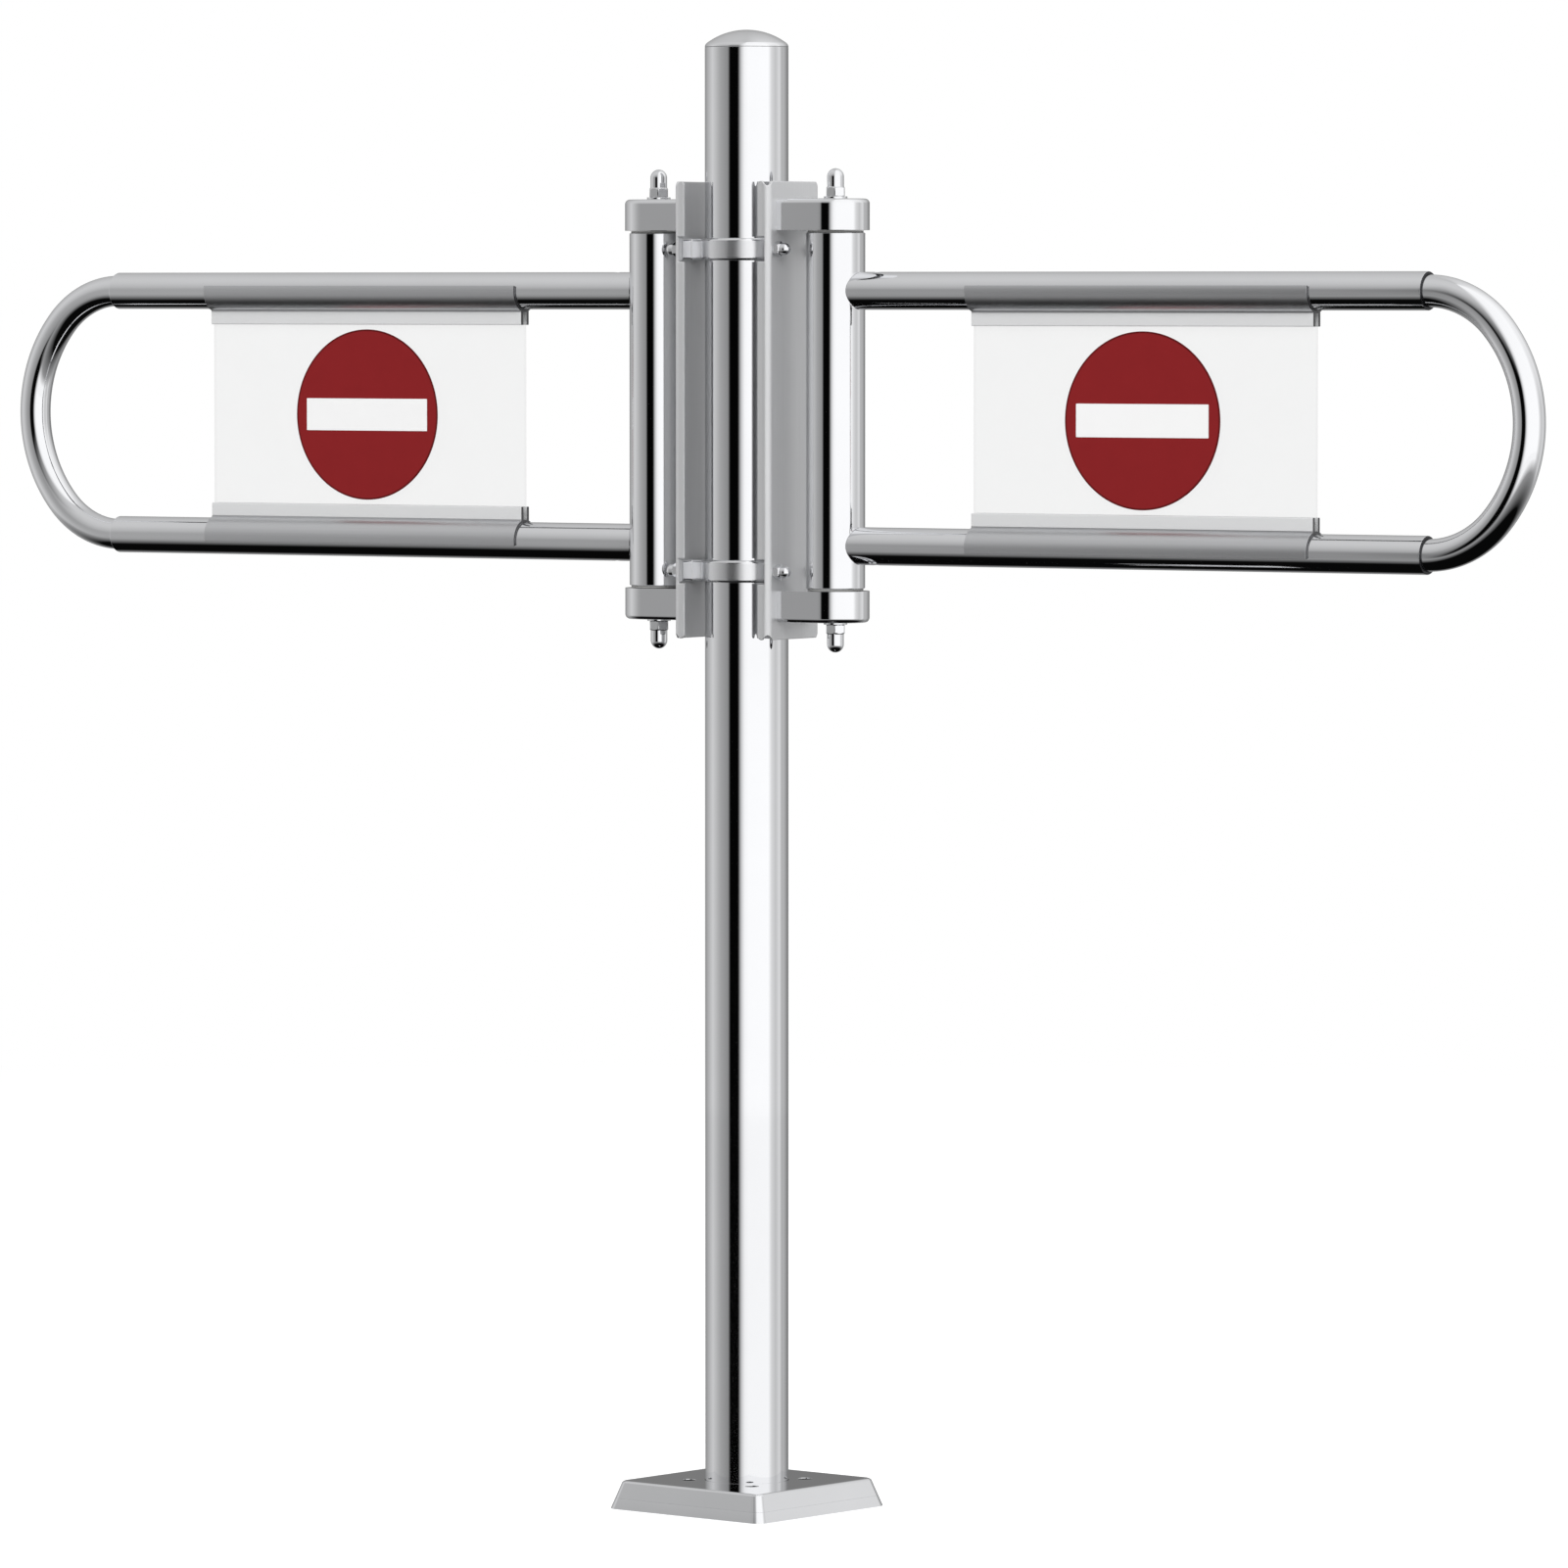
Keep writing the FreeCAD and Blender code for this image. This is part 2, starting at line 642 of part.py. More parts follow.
def make_axle(side):
    """Stepped axle through both arms, with a washer and a tall cap nut on each end."""
    x = f"{SIDES[side]} * {HINGE_OFFSET}"
    top, foot = f"({ARMS_TOP} + washer_thickness)", f"({ARMS_FOOT} - washer_thickness)"
    tip, root = f"{top} + {thread_reach('axle_nut')}", f"{foot} - {thread_reach('axle_nut')}"
    corners = [
        ("0", root), (AXLE_END_RADIUS, root), (AXLE_END_RADIUS, ARM_GAP_FOOT), (AXLE_RADIUS, ARM_GAP_FOOT),
        (AXLE_RADIUS, ARM_GAP_TOP), (AXLE_END_RADIUS, ARM_GAP_TOP), (AXLE_END_RADIUS, tip), ("0", tip),
    ]
    keep(place(turned(f"{side}_hinge_axle", corners), x))

    bore = f"{AXLE_END_RADIUS} + axle_hole_gap"
    washers = [ring("axle_washer", bore, "washer_diameter / 2", f"{top} - washer_thickness", top),
               ring("axle_washer", bore, "washer_diameter / 2", foot, f"{foot} + washer_thickness")]
    place(group(f"{side}_axle_washers", washers), x)

    nuts = []
    for seat, turn in ((top, 0), (foot, 180)):
        nut = cap_nut("axle_nut", "axle_nut", "axle_end_diameter")
        nuts.append(place(nut, z=seat, turn=turn, axis=FreeCAD.Vector(1, 0, 0)))
    place(group(f"{side}_axle_nuts", nuts), x)


def make_hinge_tube(side):
    """Tube that turns round the axle on two flanged bushes."""
    x = f"{SIDES[side]} * {HINGE_OFFSET}"
    keep(place(ring(f"{side}_hinge_tube", HINGE_BORE, HINGE_RADIUS, TUBE_FOOT, TUBE_TOP), x))
    bore = f"{AXLE_RADIUS} + running_gap"
    sleeve, rim = f"{HINGE_BORE} - bush_gap", f"{HINGE_RADIUS} - bush_flange_step"
    for level, tube_end in {"upper": TUBE_TOP, "lower": TUBE_FOOT}.items():
        flange = f"{tube_end} + {LEVELS[level]} * bush_flange"
        inner = f"{tube_end} - {LEVELS[level]} * bush_length"
        corners = [(bore, flange), (rim, flange), (rim, tube_end), (sleeve, tube_end), (sleeve, inner),
                   (bore, inner)]
        keep(place(turned(f"{side}_{level}_bush", corners), x))


def arc_to_joint(start, corner, end):
    """Arc that leaves start towards a corner and reaches end from it, with equal tangents."""
    middle = (start + end) / 2
    half_chord = (end - start).Length / 2
    rise = corner - middle
    half_angle = math.atan2(rise.Length, half_chord)
    crown = middle + rise / rise.Length * half_chord * math.tan(half_angle / 2)
    return Part.Arc(start, crown, end).toShape()


def biarc(start, leaving, end, arriving):
    """Two tangent arcs from one point and direction to another."""
    across, both = end - start, leaving + arriving
    spread = 2 * (1 - leaving.dot(arriving))
    along = across.dot(both)
    reach = (math.sqrt(along ** 2 + spread * across.dot(across)) - along) / spread
    first, second = start + leaving * reach, end - arriving * reach
    joint = (first + second) / 2
    return [arc_to_joint(start, first, joint), arc_to_joint(joint, second, end)]


def make_spring(side):
    """Torsion spring round the axle, the collar that holds its foot and the driver that turns its top.

    The wings open in opposite ways, so the left spring is wound the other way round.
    """
    hand = SIDES[side]
    x = f"{hand} * {HINGE_OFFSET}"
    turn = half_turn(side)
    seat = f"({HINGE_MIDDLE} - {SPRING_ROOM} / 2)"
    roof = f"({HINGE_MIDDLE} + {SPRING_ROOM} / 2)"
    lug_low, lug_high = f"{SPRING_RADIUS} - lug_width / 2", f"{SPRING_RADIUS} + lug_width / 2"
    lug_height = "(spring_wire + spring_gap)"

    def lug(name, way, foot, top):
        middle = f"{way} * (spring_tang + spring_gap + lug_thickness / 2)"
        return block(name, (lug_low, f"{middle} - lug_thickness / 2", foot),
                     (lug_high, f"{middle} + lug_thickness / 2", top))

    collar = ring("spring_collar_ring", f"{AXLE_RADIUS} + thread_gap", f"{SPRING_RADIUS} + collar_rim",
                  f"{seat} - collar_height", seat)
    collar_lug = lug("spring_collar_lug", -hand, f"{seat} - lug_thickness", f"{seat} + {lug_height}")
    keep(place(fuse(f"{side}_spring_collar", collar, collar_lug), x, turn=turn))

    driver = ring("spring_driver_ring", f"{AXLE_RADIUS} + driver_bore_gap", f"{HINGE_BORE} - bush_gap",
                  roof, f"{roof} + driver_height")
    driver_lug = lug("spring_driver_lug", hand, f"{roof} - {lug_height}", f"{roof} + lug_thickness")
    keep(place(fuse(f"{side}_spring_driver", driver, driver_lug), x, turn=turn))

    radius, pitch, wire = number(SPRING_RADIUS), number("spring_pitch"), number("spring_wire")
    foot = number(seat) + wire / 2 + number("spring_gap")

    def at(half_turns):
        angle = math.pi * half_turns
        height = foot + pitch * half_turns / 2
        return FreeCAD.Vector(radius * math.cos(angle), hand * radius * math.sin(angle), height)

    def heading(half_turns):
        angle = math.pi * half_turns
        way = FreeCAD.Vector(-math.sin(angle), hand * math.cos(angle), pitch / (2 * math.pi * radius))
        return way.normalize()

    count = round(2 * number("spring_turns"))
    tang = number("spring_tang")
    tail, tip = at(0) - heading(0) * tang, at(count) + heading(count) * tang
    edges = [Part.LineSegment(tail, at(0)).toShape()]
    for step in range(count):
        edges += biarc(at(step), heading(step), at(step + 1), heading(step + 1))
    edges.append(Part.LineSegment(at(count), tip).toShape())
    path = Part.Wire(edges)
    section = Part.Wire(Part.makeCircle(wire / 2, tail, heading(0)))
    spring = doc.addObject("Part::Feature", f"{side}_closing_spring")
    spring.Shape = path.makePipeShell([section], True, False)
    print(f"{side} spring: least gap between turns {pitch - wire:.2f} mm,",
          f"volume ratio {spring.Shape.Volume / (path.Length * math.pi * wire ** 2 / 4):.4f}")
    keep(place(spring, x, turn=turn))


def make_rails(side):
    """Spigots on the hinge tube, the rails pushed onto them, and the screws that lock them."""
    turn = half_turn(side)
    spigots, screws = [], []
    for level, height in {"upper": RAIL_UP, "lower": RAIL_DOWN}.items():
        sign = LEVELS[level]
        low, high = f"{height} - rail_diameter", f"{height} + rail_diameter"
        saddle = pillar("saddle", f"{HINGE_RADIUS} + saddle_gap", low, high, HINGE_OFFSET)
        crown = f"{height} + {sign} * ({RAIL_RADIUS} - set_screw_sink)"
        root = f"{crown} - {sign} * set_screw_length"
        ends = (root, crown) if sign > 0 else (crown, root)
        past = (root, f"{crown} + rail_wall") if sign > 0 else (f"{crown} - rail_wall", root)
        bore = pillar("set_screw_hole", "set_screw_diameter / 2 + thread_gap", *past, SET_SCREW_PLACE)

        outside = rod("rail_outside", RAIL_RADIUS, HINGE_OFFSET, RAIL_END, height)
        inside = rod("rail_inside", RAIL_BORE, HINGE_OFFSET, f"{RAIL_END} + rail_wall", height)
        rail = cut(f"{side}_{level}_rail", outside, inside, saddle, bore)
        keep(place(rail, turn=turn))

        stub = rod("spigot_bar", f"{RAIL_BORE} - spigot_gap", HINGE_OFFSET,
                   f"{HINGE_OFFSET} + {HINGE_RADIUS} + spigot_length", height)
        spigots.append(cut("rail_spigot", stub, saddle, bore))
        screws.append(pillar("set_screw", "set_screw_diameter / 2", *ends, SET_SCREW_PLACE))
    place(group(f"{side}_rail_spigots", spigots), turn=turn)
    place(group(f"{side}_rail_set_screws", screws), turn=turn)


def make_bow(side):
    """Bent tube that closes the wing: two corner arcs and a flatter middle arc, with legs in the rails."""
    half, start = "(rail_spacing / 2)", f"({RAIL_END} - bow_insert)"
    corner = "(bow_depth - bow_crown)"
    middle = f"((bow_depth^2 + ({half} - {corner})^2 - {corner}^2) / (2 * bow_crown))"
    meet_x = f"{RAIL_END} + bow_depth - {middle} + {middle} * ({middle} - bow_depth) / ({middle} - {corner})"
    meet_z = f"({middle} * ({half} - {corner}) / ({middle} - {corner}))"
    bow = doc.addObject("PartDesign::Body", f"{side}_end_bow")
    spine = new_sketch(bow, "XZ_Plane")
    draw(spine, [(start, half), (RAIL_END, half), (meet_x, meet_z, "right", corner),
                 (meet_x, f"-{meet_z}", "right", middle), (RAIL_END, f"-{half}", "right", corner),
                 (start, f"-{half}")], closed=False)
    section = new_sketch(bow, "YZ_Plane", start)
    for wall in ("0", "bow_wall"):
        draw_circle(section, "0", half, f"2 * ({RAIL_BORE} - bow_gap - {wall})")
    doc.recompute()
    pipe = bow.newObject("PartDesign::AdditivePipe", f"{bow.Name}_pipe")
    pipe.Profile = section
    pipe.Spine = (spine, [f"Edge{index + 1}" for index in range(len(spine.Shape.Edges))])
    keep(place(bow, z="rail_height", turn=half_turn(side)))


def make_clips(side):
    """Snap-on clips: a sleeve round more than half of the rail and two lips that hold the panel."""
    slot = "(panel_thickness / 2 + panel_gap)"
    lip = f"({slot} + clip_lip_wall)"
    reach = f"({CLIP_RADIUS} + clip_lip)"
    shoulder = f"sqrt({CLIP_RADIUS}^2 - {lip}^2)"
    outer = (f"{CLIP_RADIUS} * cos(clip_wrap)", f"-{CLIP_RADIUS} * sin(clip_wrap)")
    inner = (f"{CLIP_BORE} * cos(clip_wrap)", f"-{CLIP_BORE} * sin(clip_wrap)")
    start = f"{SIGN_PLACE} - clip_length / 2"
    corners = [
        (lip, reach), (slot, reach), (slot, CLIP_RADIUS), (f"-{slot}", CLIP_RADIUS), (f"-{slot}", reach),
        (f"-{lip}", reach), (f"-{lip}", shoulder),
        (f"-{outer[0]}", outer[1], "left", CLIP_RADIUS), (f"-{inner[0]}", inner[1]),
        ("0", CLIP_BORE, "right", CLIP_BORE), (*inner, "right", CLIP_BORE), outer,
        (lip, shoulder, "left", CLIP_RADIUS),
    ]
    ways = {"lower": (RAIL_DOWN, 0), "upper": (RAIL_UP, 180)}
    for level, (height, flip) in ways.items():
        clip = extruded(f"{side}_{level}_clip", "YZ_Plane", start, "clip_length", corners)
        rotation = FreeCAD.Rotation(UP, half_turn(side)) * FreeCAD.Rotation(FreeCAD.Vector(1, 0, 0), flip)
        place(clip, z=height, turn=math.degrees(rotation.Angle), axis=rotation.Axis)
        keep(clip)


def make_sign(side):
    """Clear panel between the clips, and the no-entry disc and bar on its front."""
    middle = f"{SIDES[side]} * {SIGN_PLACE}"
    face = "panel_thickness / 2"
    keep(block(f"{side}_sign_panel", (f"{middle} - clip_length / 2", f"-{face}", PANEL_FOOT),
               (f"{middle} + clip_length / 2", face, PANEL_TOP)))

    disc = doc.addObject("Part::Cylinder", f"{side}_sign_disc")
    bind(disc, "Radius", f"{DISC_DIAMETER} / 2")
    bind(disc, "Height", "disc_thickness")
    keep(place(disc, middle, f"-{face}", "rail_height", 90, FreeCAD.Vector(1, 0, 0)))

    front = f"({face} + disc_thickness)"
    half = f"({DISC_DIAMETER} / 2 - bar_margin)"
    keep(block(f"{side}_sign_bar",
               (f"{middle} - {half}", f"-({front} + bar_thickness)", "rail_height - bar_height / 2"),
               (f"{middle} + {half}", f"-{front}", "rail_height + bar_height / 2")))


def check():
    """Stops if anything in the document failed or any piece is not a sound solid."""
    for item in doc.Objects:
        if {"Invalid", "Error"} & set(item.State):
            raise RuntimeError(f"{item.Label} did not compute")
    for piece in pieces:
        if piece.Shape.isNull() or not piece.Shape.isValid() or not piece.Shape.Solids:
            raise RuntimeError(f"{piece.Label} is not a sound solid")


def main():
    """Builds the gate, checks it and writes one file for each piece."""
    make_base()
    make_post()
    make_straps()
    make_clamp_fasteners()
    for side in SIDES:
        make_bracket(side)
        make_arms(side)
        make_axle(side)
        make_spring(side)
        make_hinge_tube(side)
        make_rails(side)
        make_bow(side)
        make_clips(side)
        make_sign(side)
    doc.recompute()
    check()
    os.makedirs("parts", exist_ok=True)
    for piece in pieces:
        piece.Shape.exportStep(f"parts/{piece.Label}.step")
    print(len(pieces), "pieces written")


main()
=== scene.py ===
"""Looks of the swing gate: bright metal, clear sign panels and a plain studio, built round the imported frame.

Metres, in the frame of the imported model: +Z is up, +X runs to the right wing and the signs face -Y.
"""

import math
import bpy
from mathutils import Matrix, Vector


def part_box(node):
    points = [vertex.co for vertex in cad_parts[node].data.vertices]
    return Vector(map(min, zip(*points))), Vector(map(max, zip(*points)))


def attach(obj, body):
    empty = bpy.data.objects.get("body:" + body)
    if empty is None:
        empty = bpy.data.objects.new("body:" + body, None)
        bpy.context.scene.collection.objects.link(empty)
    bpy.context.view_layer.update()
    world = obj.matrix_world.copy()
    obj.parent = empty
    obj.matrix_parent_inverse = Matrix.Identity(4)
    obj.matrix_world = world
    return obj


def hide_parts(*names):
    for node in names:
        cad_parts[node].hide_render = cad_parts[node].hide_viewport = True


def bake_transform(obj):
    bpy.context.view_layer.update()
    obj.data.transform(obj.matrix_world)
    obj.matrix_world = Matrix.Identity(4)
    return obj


bl_info = {
    "name": "Swing Gate Looks",
    "version": (1, 0, 0),
    "blender": (4, 5, 0),
    "location": "View3D > Sidebar > Swing Gate",
    "description": "Builds the visible pieces of a two-winged swing gate and a studio for it",
    "category": "Object",
}

import bmesh
import bpy
from bpy.props import FloatProperty, FloatVectorProperty, IntProperty, PointerProperty
from mathutils import Matrix, Vector

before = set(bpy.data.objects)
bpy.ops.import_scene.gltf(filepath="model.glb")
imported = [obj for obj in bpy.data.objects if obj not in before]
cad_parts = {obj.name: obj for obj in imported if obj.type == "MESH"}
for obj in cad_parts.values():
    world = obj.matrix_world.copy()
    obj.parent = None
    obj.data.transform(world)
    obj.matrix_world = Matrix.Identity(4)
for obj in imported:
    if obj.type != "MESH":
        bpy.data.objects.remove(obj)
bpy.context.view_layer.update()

MM = 0.001
FULL_TURN = 2 * math.pi
QUARTER = math.pi / 2
EASE = 0.3           # Where the middle ring of a rounded edge lies, as a part of its rounding
HAIR = 0.01 * MM     # Radius that stands for a point on an axis
MERGE = 1e-7         # Points closer than this are one
BEVEL_LIMIT = 35.0   # Edges that turn by more degrees than this are rounded
HEX_CRISP = 40.0     # Edges of nuts and screws that turn by more degrees than this stay crisp
FACING = 0.9         # Least part of a normal that counts as facing a way
CHROME_SHINE = 0.77  # Part of the light that polished chrome sends back
WHITE = (1, 1, 1, 1)
SIDES = {"right": Matrix.Identity(4), "left": Matrix.Rotation(math.pi, 4, "Z")}
LEVELS = ("upper", "lower")
UPRIGHT = Matrix.Rotation(QUARTER, 4, "X")


def length(name, description, default):
    """Length that a user would change, in metres."""
    return FloatProperty(name=name, description=description, default=default, min=0, precision=5,
                         subtype="DISTANCE", unit="LENGTH")


def angle(name, description, degrees):
    """Angle that a user would change."""
    return FloatProperty(name=name, description=description, default=math.radians(degrees),
                         subtype="ANGLE", unit="ROTATION")


def share(name, description, default, most=1.0):
    """Plain number from nought up."""
    return FloatProperty(name=name, description=description, default=default, min=0, max=most, precision=4)


def colour(name, description, default):
    """Colour in linear light."""
    return FloatVectorProperty(name=name, description=description, default=default, size=3, min=0, max=1,
                               subtype="COLOR")


class GateSizes(bpy.types.PropertyGroup):
    """Sizes of the visible pieces that the frame's boxes don't give."""

    around: IntProperty(name="Steps Around", description="Faces round a full turn of the post",
                        default=160, min=24, max=512)
    edge: length("Edge", "Rounding of cut metal edges", 0.6 * MM)
    arm_edge: length("Arm Edge", "Rounding of the arms' outer rims", 3.5 * MM)
    cap_shoulder: length("Cap Shoulder", "Rounding between the dome and the post", 4 * MM)
    seam: length("Seam", "Rounding of edges that meet in a tight seam", 0.1 * MM)
    rail_end: length("Rail End", "Rounding of a rail's end at the bow", 0.6 * MM)
    base_turn: angle("Base Turn", "Turn of the base on the floor", -8)
    base_foot: length("Base Foot", "Width of the base at the floor", 144.5 * MM)
    base_top: length("Base Top", "Width of the base at its top", 130.5 * MM)
    base_corner: length("Base Corner", "Corner radius of the base at the floor", 8 * MM)
    anchor_circle: length("Anchor Circle", "Distance of the anchor holes from the post's axis", 42 * MM)
    anchor_hole: length("Anchor Hole", "Diameter of the anchor holes", 10 * MM)
    tube_wall: length("Tube Wall", "Wall of the post and the rails", 2 * MM)
    sheet: length("Sheet", "Thickness of the straps and the brackets", 2.5 * MM)
    strap_bend: length("Strap Bend", "Outer bend radius of the straps' ears", 3.2 * MM)
    ear_drop: length("Ear Drop", "How far the straps' ears stop short of the arc's crown", 3.35 * MM)
    bracket_bend: length("Bracket Bend", "Outer bend radius of the brackets", 5.5 * MM)
    bracket_corner: length("Bracket Corner", "Rounding of the free corners of the brackets' lips", 3 * MM)
    bend_relief: length("Bend Relief", "How far the brackets' ends stop short at the bends", 3.2 * MM)
    strap_edge: length("Strap Edge", "Rounding of the rims on the straps' outer side", 2.2 * MM)
    screw_rise: length("Screw Rise", "How far the arm screws' heads stand above the sheet", 0.06 * MM)
    notch: length("Notch", "Depth of the notches in the brackets' lips", 5.6 * MM)
    notch_gap: length("Notch Gap", "Gap between a strap and the notch in the bracket's lip", 1 * MM)
    axle_hole: length("Axle Hole", "Bore of the washers", 8.2 * MM)
    clamp_nut: length("Clamp Nut", "Width across flats of the clamps' cap nuts", 10 * MM)
    clamp_nut_hex: length("Clamp Nut Hexagon", "Height of the hexagon of the clamps' cap nuts", 4.5 * MM)
    clamp_nut_dome: length("Clamp Nut Dome", "Diameter of the dome of the clamps' cap nuts", 8.6 * MM)
    axle_nut: length("Axle Nut", "Width across flats of the axles' cap nuts", 13 * MM)
    axle_nut_hex: length("Axle Nut Hexagon", "Height of the hexagon of the axles' cap nuts", 6.5 * MM)
    axle_nut_dome: length("Axle Nut Dome", "Diameter of the dome of the axles' cap nuts", 12 * MM)
    hinge_wall: length("Hinge Wall", "Wall of the hinge tubes", 2.6 * MM)
    spring_wire: length("Spring Wire", "Diameter of the closing springs' wire", 4 * MM)
    spring_pitch: length("Spring Pitch", "Rise of a closing spring in one turn", 4.6 * MM)
    spring_turns: IntProperty(name="Spring Turns", description="Turns of a closing spring", default=12, min=1)
    spring_tang: length("Spring Tang", "Straight end of a closing spring's wire", 4.2 * MM)
    saddle_gap: length("Saddle Gap", "Gap between a rail's end and the hinge tube", 0.1 * MM)
    socket: length("Socket", "Width across flats of the set screws' sockets", 2.5 * MM)
    bow_crown: length("Bow Crown", "Rise of the bow's flatter middle above its corners", 8 * MM)
    film_gap: length("Film Gap", "Room between a sign's film and its panel", 0.05 * MM)
    clip_wall: length("Clip Wall", "Wall of the clips' sleeves", 1.8 * MM)
    clip_lip: length("Clip Lip", "Thickness of each clip lip", 3 * MM)
    clip_wrap: angle("Clip Wrap", "How far a clip reaches past the middle of its rail", 14.5)


class GateFinishes(bpy.types.PropertyGroup):
    """Colours and gloss of the gate's finishes."""

    chrome: colour("Chrome", "Polished plate", (0.78, 0.785, 0.8))
    chrome_haze: share("Chrome Haze", "Roughness of the polished plate", 0.035)
    satin: colour("Satin", "Brushed plate of the straps", (0.82, 0.825, 0.84))
    satin_haze: share("Satin Haze", "Roughness of the brushed plate", 0.31)
    matt: colour("Matt", "Matt plate of the brackets", (0.75, 0.755, 0.765))
    matt_haze: share("Matt Haze", "Roughness of the matt plate", 0.5)
    matt_metal: share("Matt Metal", "How metallic the matt plate looks", 0.75)
    aluminium: colour("Aluminium", "Drawn clip section", (0.66, 0.665, 0.68))
    aluminium_haze: share("Aluminium Haze", "Roughness of the drawn clip section", 0.3)
    lip: colour("Clip Lip", "Pale face of the clips' lips", (0.65, 0.655, 0.66))
    steel: colour("Steel", "Turned steel inside the hinges", (0.56, 0.57, 0.58))
    spring: colour("Spring", "Oiled spring wire", (0.3, 0.3, 0.32))
    # Black also colours the rail ends at the bow, where it is partly painted shade of the joint.
    black: colour("Black", "Blackened set screws and rail ends", (0.06, 0.06, 0.065))
    sawn: colour("Sawn", "Sawn ends of the clips", (0.15, 0.15, 0.155))
    plastic: colour("Plastic", "Moulded bushes", (0.44, 0.44, 0.43))
    clear: colour("Clear", "Clear panel", (0.42, 0.43, 0.43))
    clear_body: share("Clear Body", "How much of the panel shows", 0.1)
    red: colour("Red", "Sign ground", (0.235, 0.015, 0.017))
    white: colour("White", "Sign bar", (0.87, 0.87, 0.87))


class GateStudio(bpy.types.PropertyGroup):
    """Camera, lamps and what the bright metal reflects."""

    azimuth: angle("Azimuth", "Camera's turn round the post, to the right of the front", 32)
    distance: length("Distance", "Camera's distance from the post", 7.0)
    eye: length("Eye", "Camera's height", 0.878)
    aside: length("Aside", "How far to the right of the post the camera points", 26.8 * MM)
    pitch: angle("Pitch", "How far the camera looks down", 2.9)
    lens: FloatProperty(name="Lens", description="Focal length on a 36 mm sensor", default=223.5, min=1,
                        subtype="DISTANCE_CAMERA")
    ambient: share("Ambient", "Even light on the pieces", 0.54, 10)
    key: share("Key", "Power of the large lamp in front on the right", 122.0, 5000)
    tent_radius: length("Tent Radius", "Radius of the tent that the metal reflects", 3.4)
    tent_height: length("Tent Height", "Height of that tent", 5.0)


def maths(operation, swapped=False):
    """Method of a wire that adds a Math node, with the wire as its second value where swapped."""

    def method(self, other=0.0):
        first, second = (other, self) if swapped else (self, other)
        return self.tree.add("ShaderNodeMath", {"operation": operation}, {0: first, 1: second}).out()

    return method


class Wire:
    """Output socket of a shader tree, so that shader maths is written as arithmetic."""

    __add__, __radd__ = maths("ADD"), maths("ADD", swapped=True)
    __sub__, __rsub__ = maths("SUBTRACT"), maths("SUBTRACT", swapped=True)
    __mul__, __rmul__ = maths("MULTIPLY"), maths("MULTIPLY", swapped=True)
    __truediv__, __rtruediv__ = maths("DIVIDE"), maths("DIVIDE", swapped=True)
    __gt__, __lt__ = maths("GREATER_THAN"), maths("LESS_THAN")
    __abs__, fraction = maths("ABSOLUTE"), maths("FRACT")
    least, most = maths("MINIMUM"), maths("MAXIMUM")
    bearing = maths("ARCTAN2")  # Angle of a point whose height is the wire and whose reach is the other value

    def __init__(self, tree, socket):
        self.tree = tree
        self.socket = socket


class Node:
    """Node of a shader tree, with its outputs as wires."""

    def __init__(self, tree, node):
        self.tree = tree
        self.node = node

    def out(self, name=0):
        """Output socket by name or place."""
        return Wire(self.tree, self.node.outputs[name])


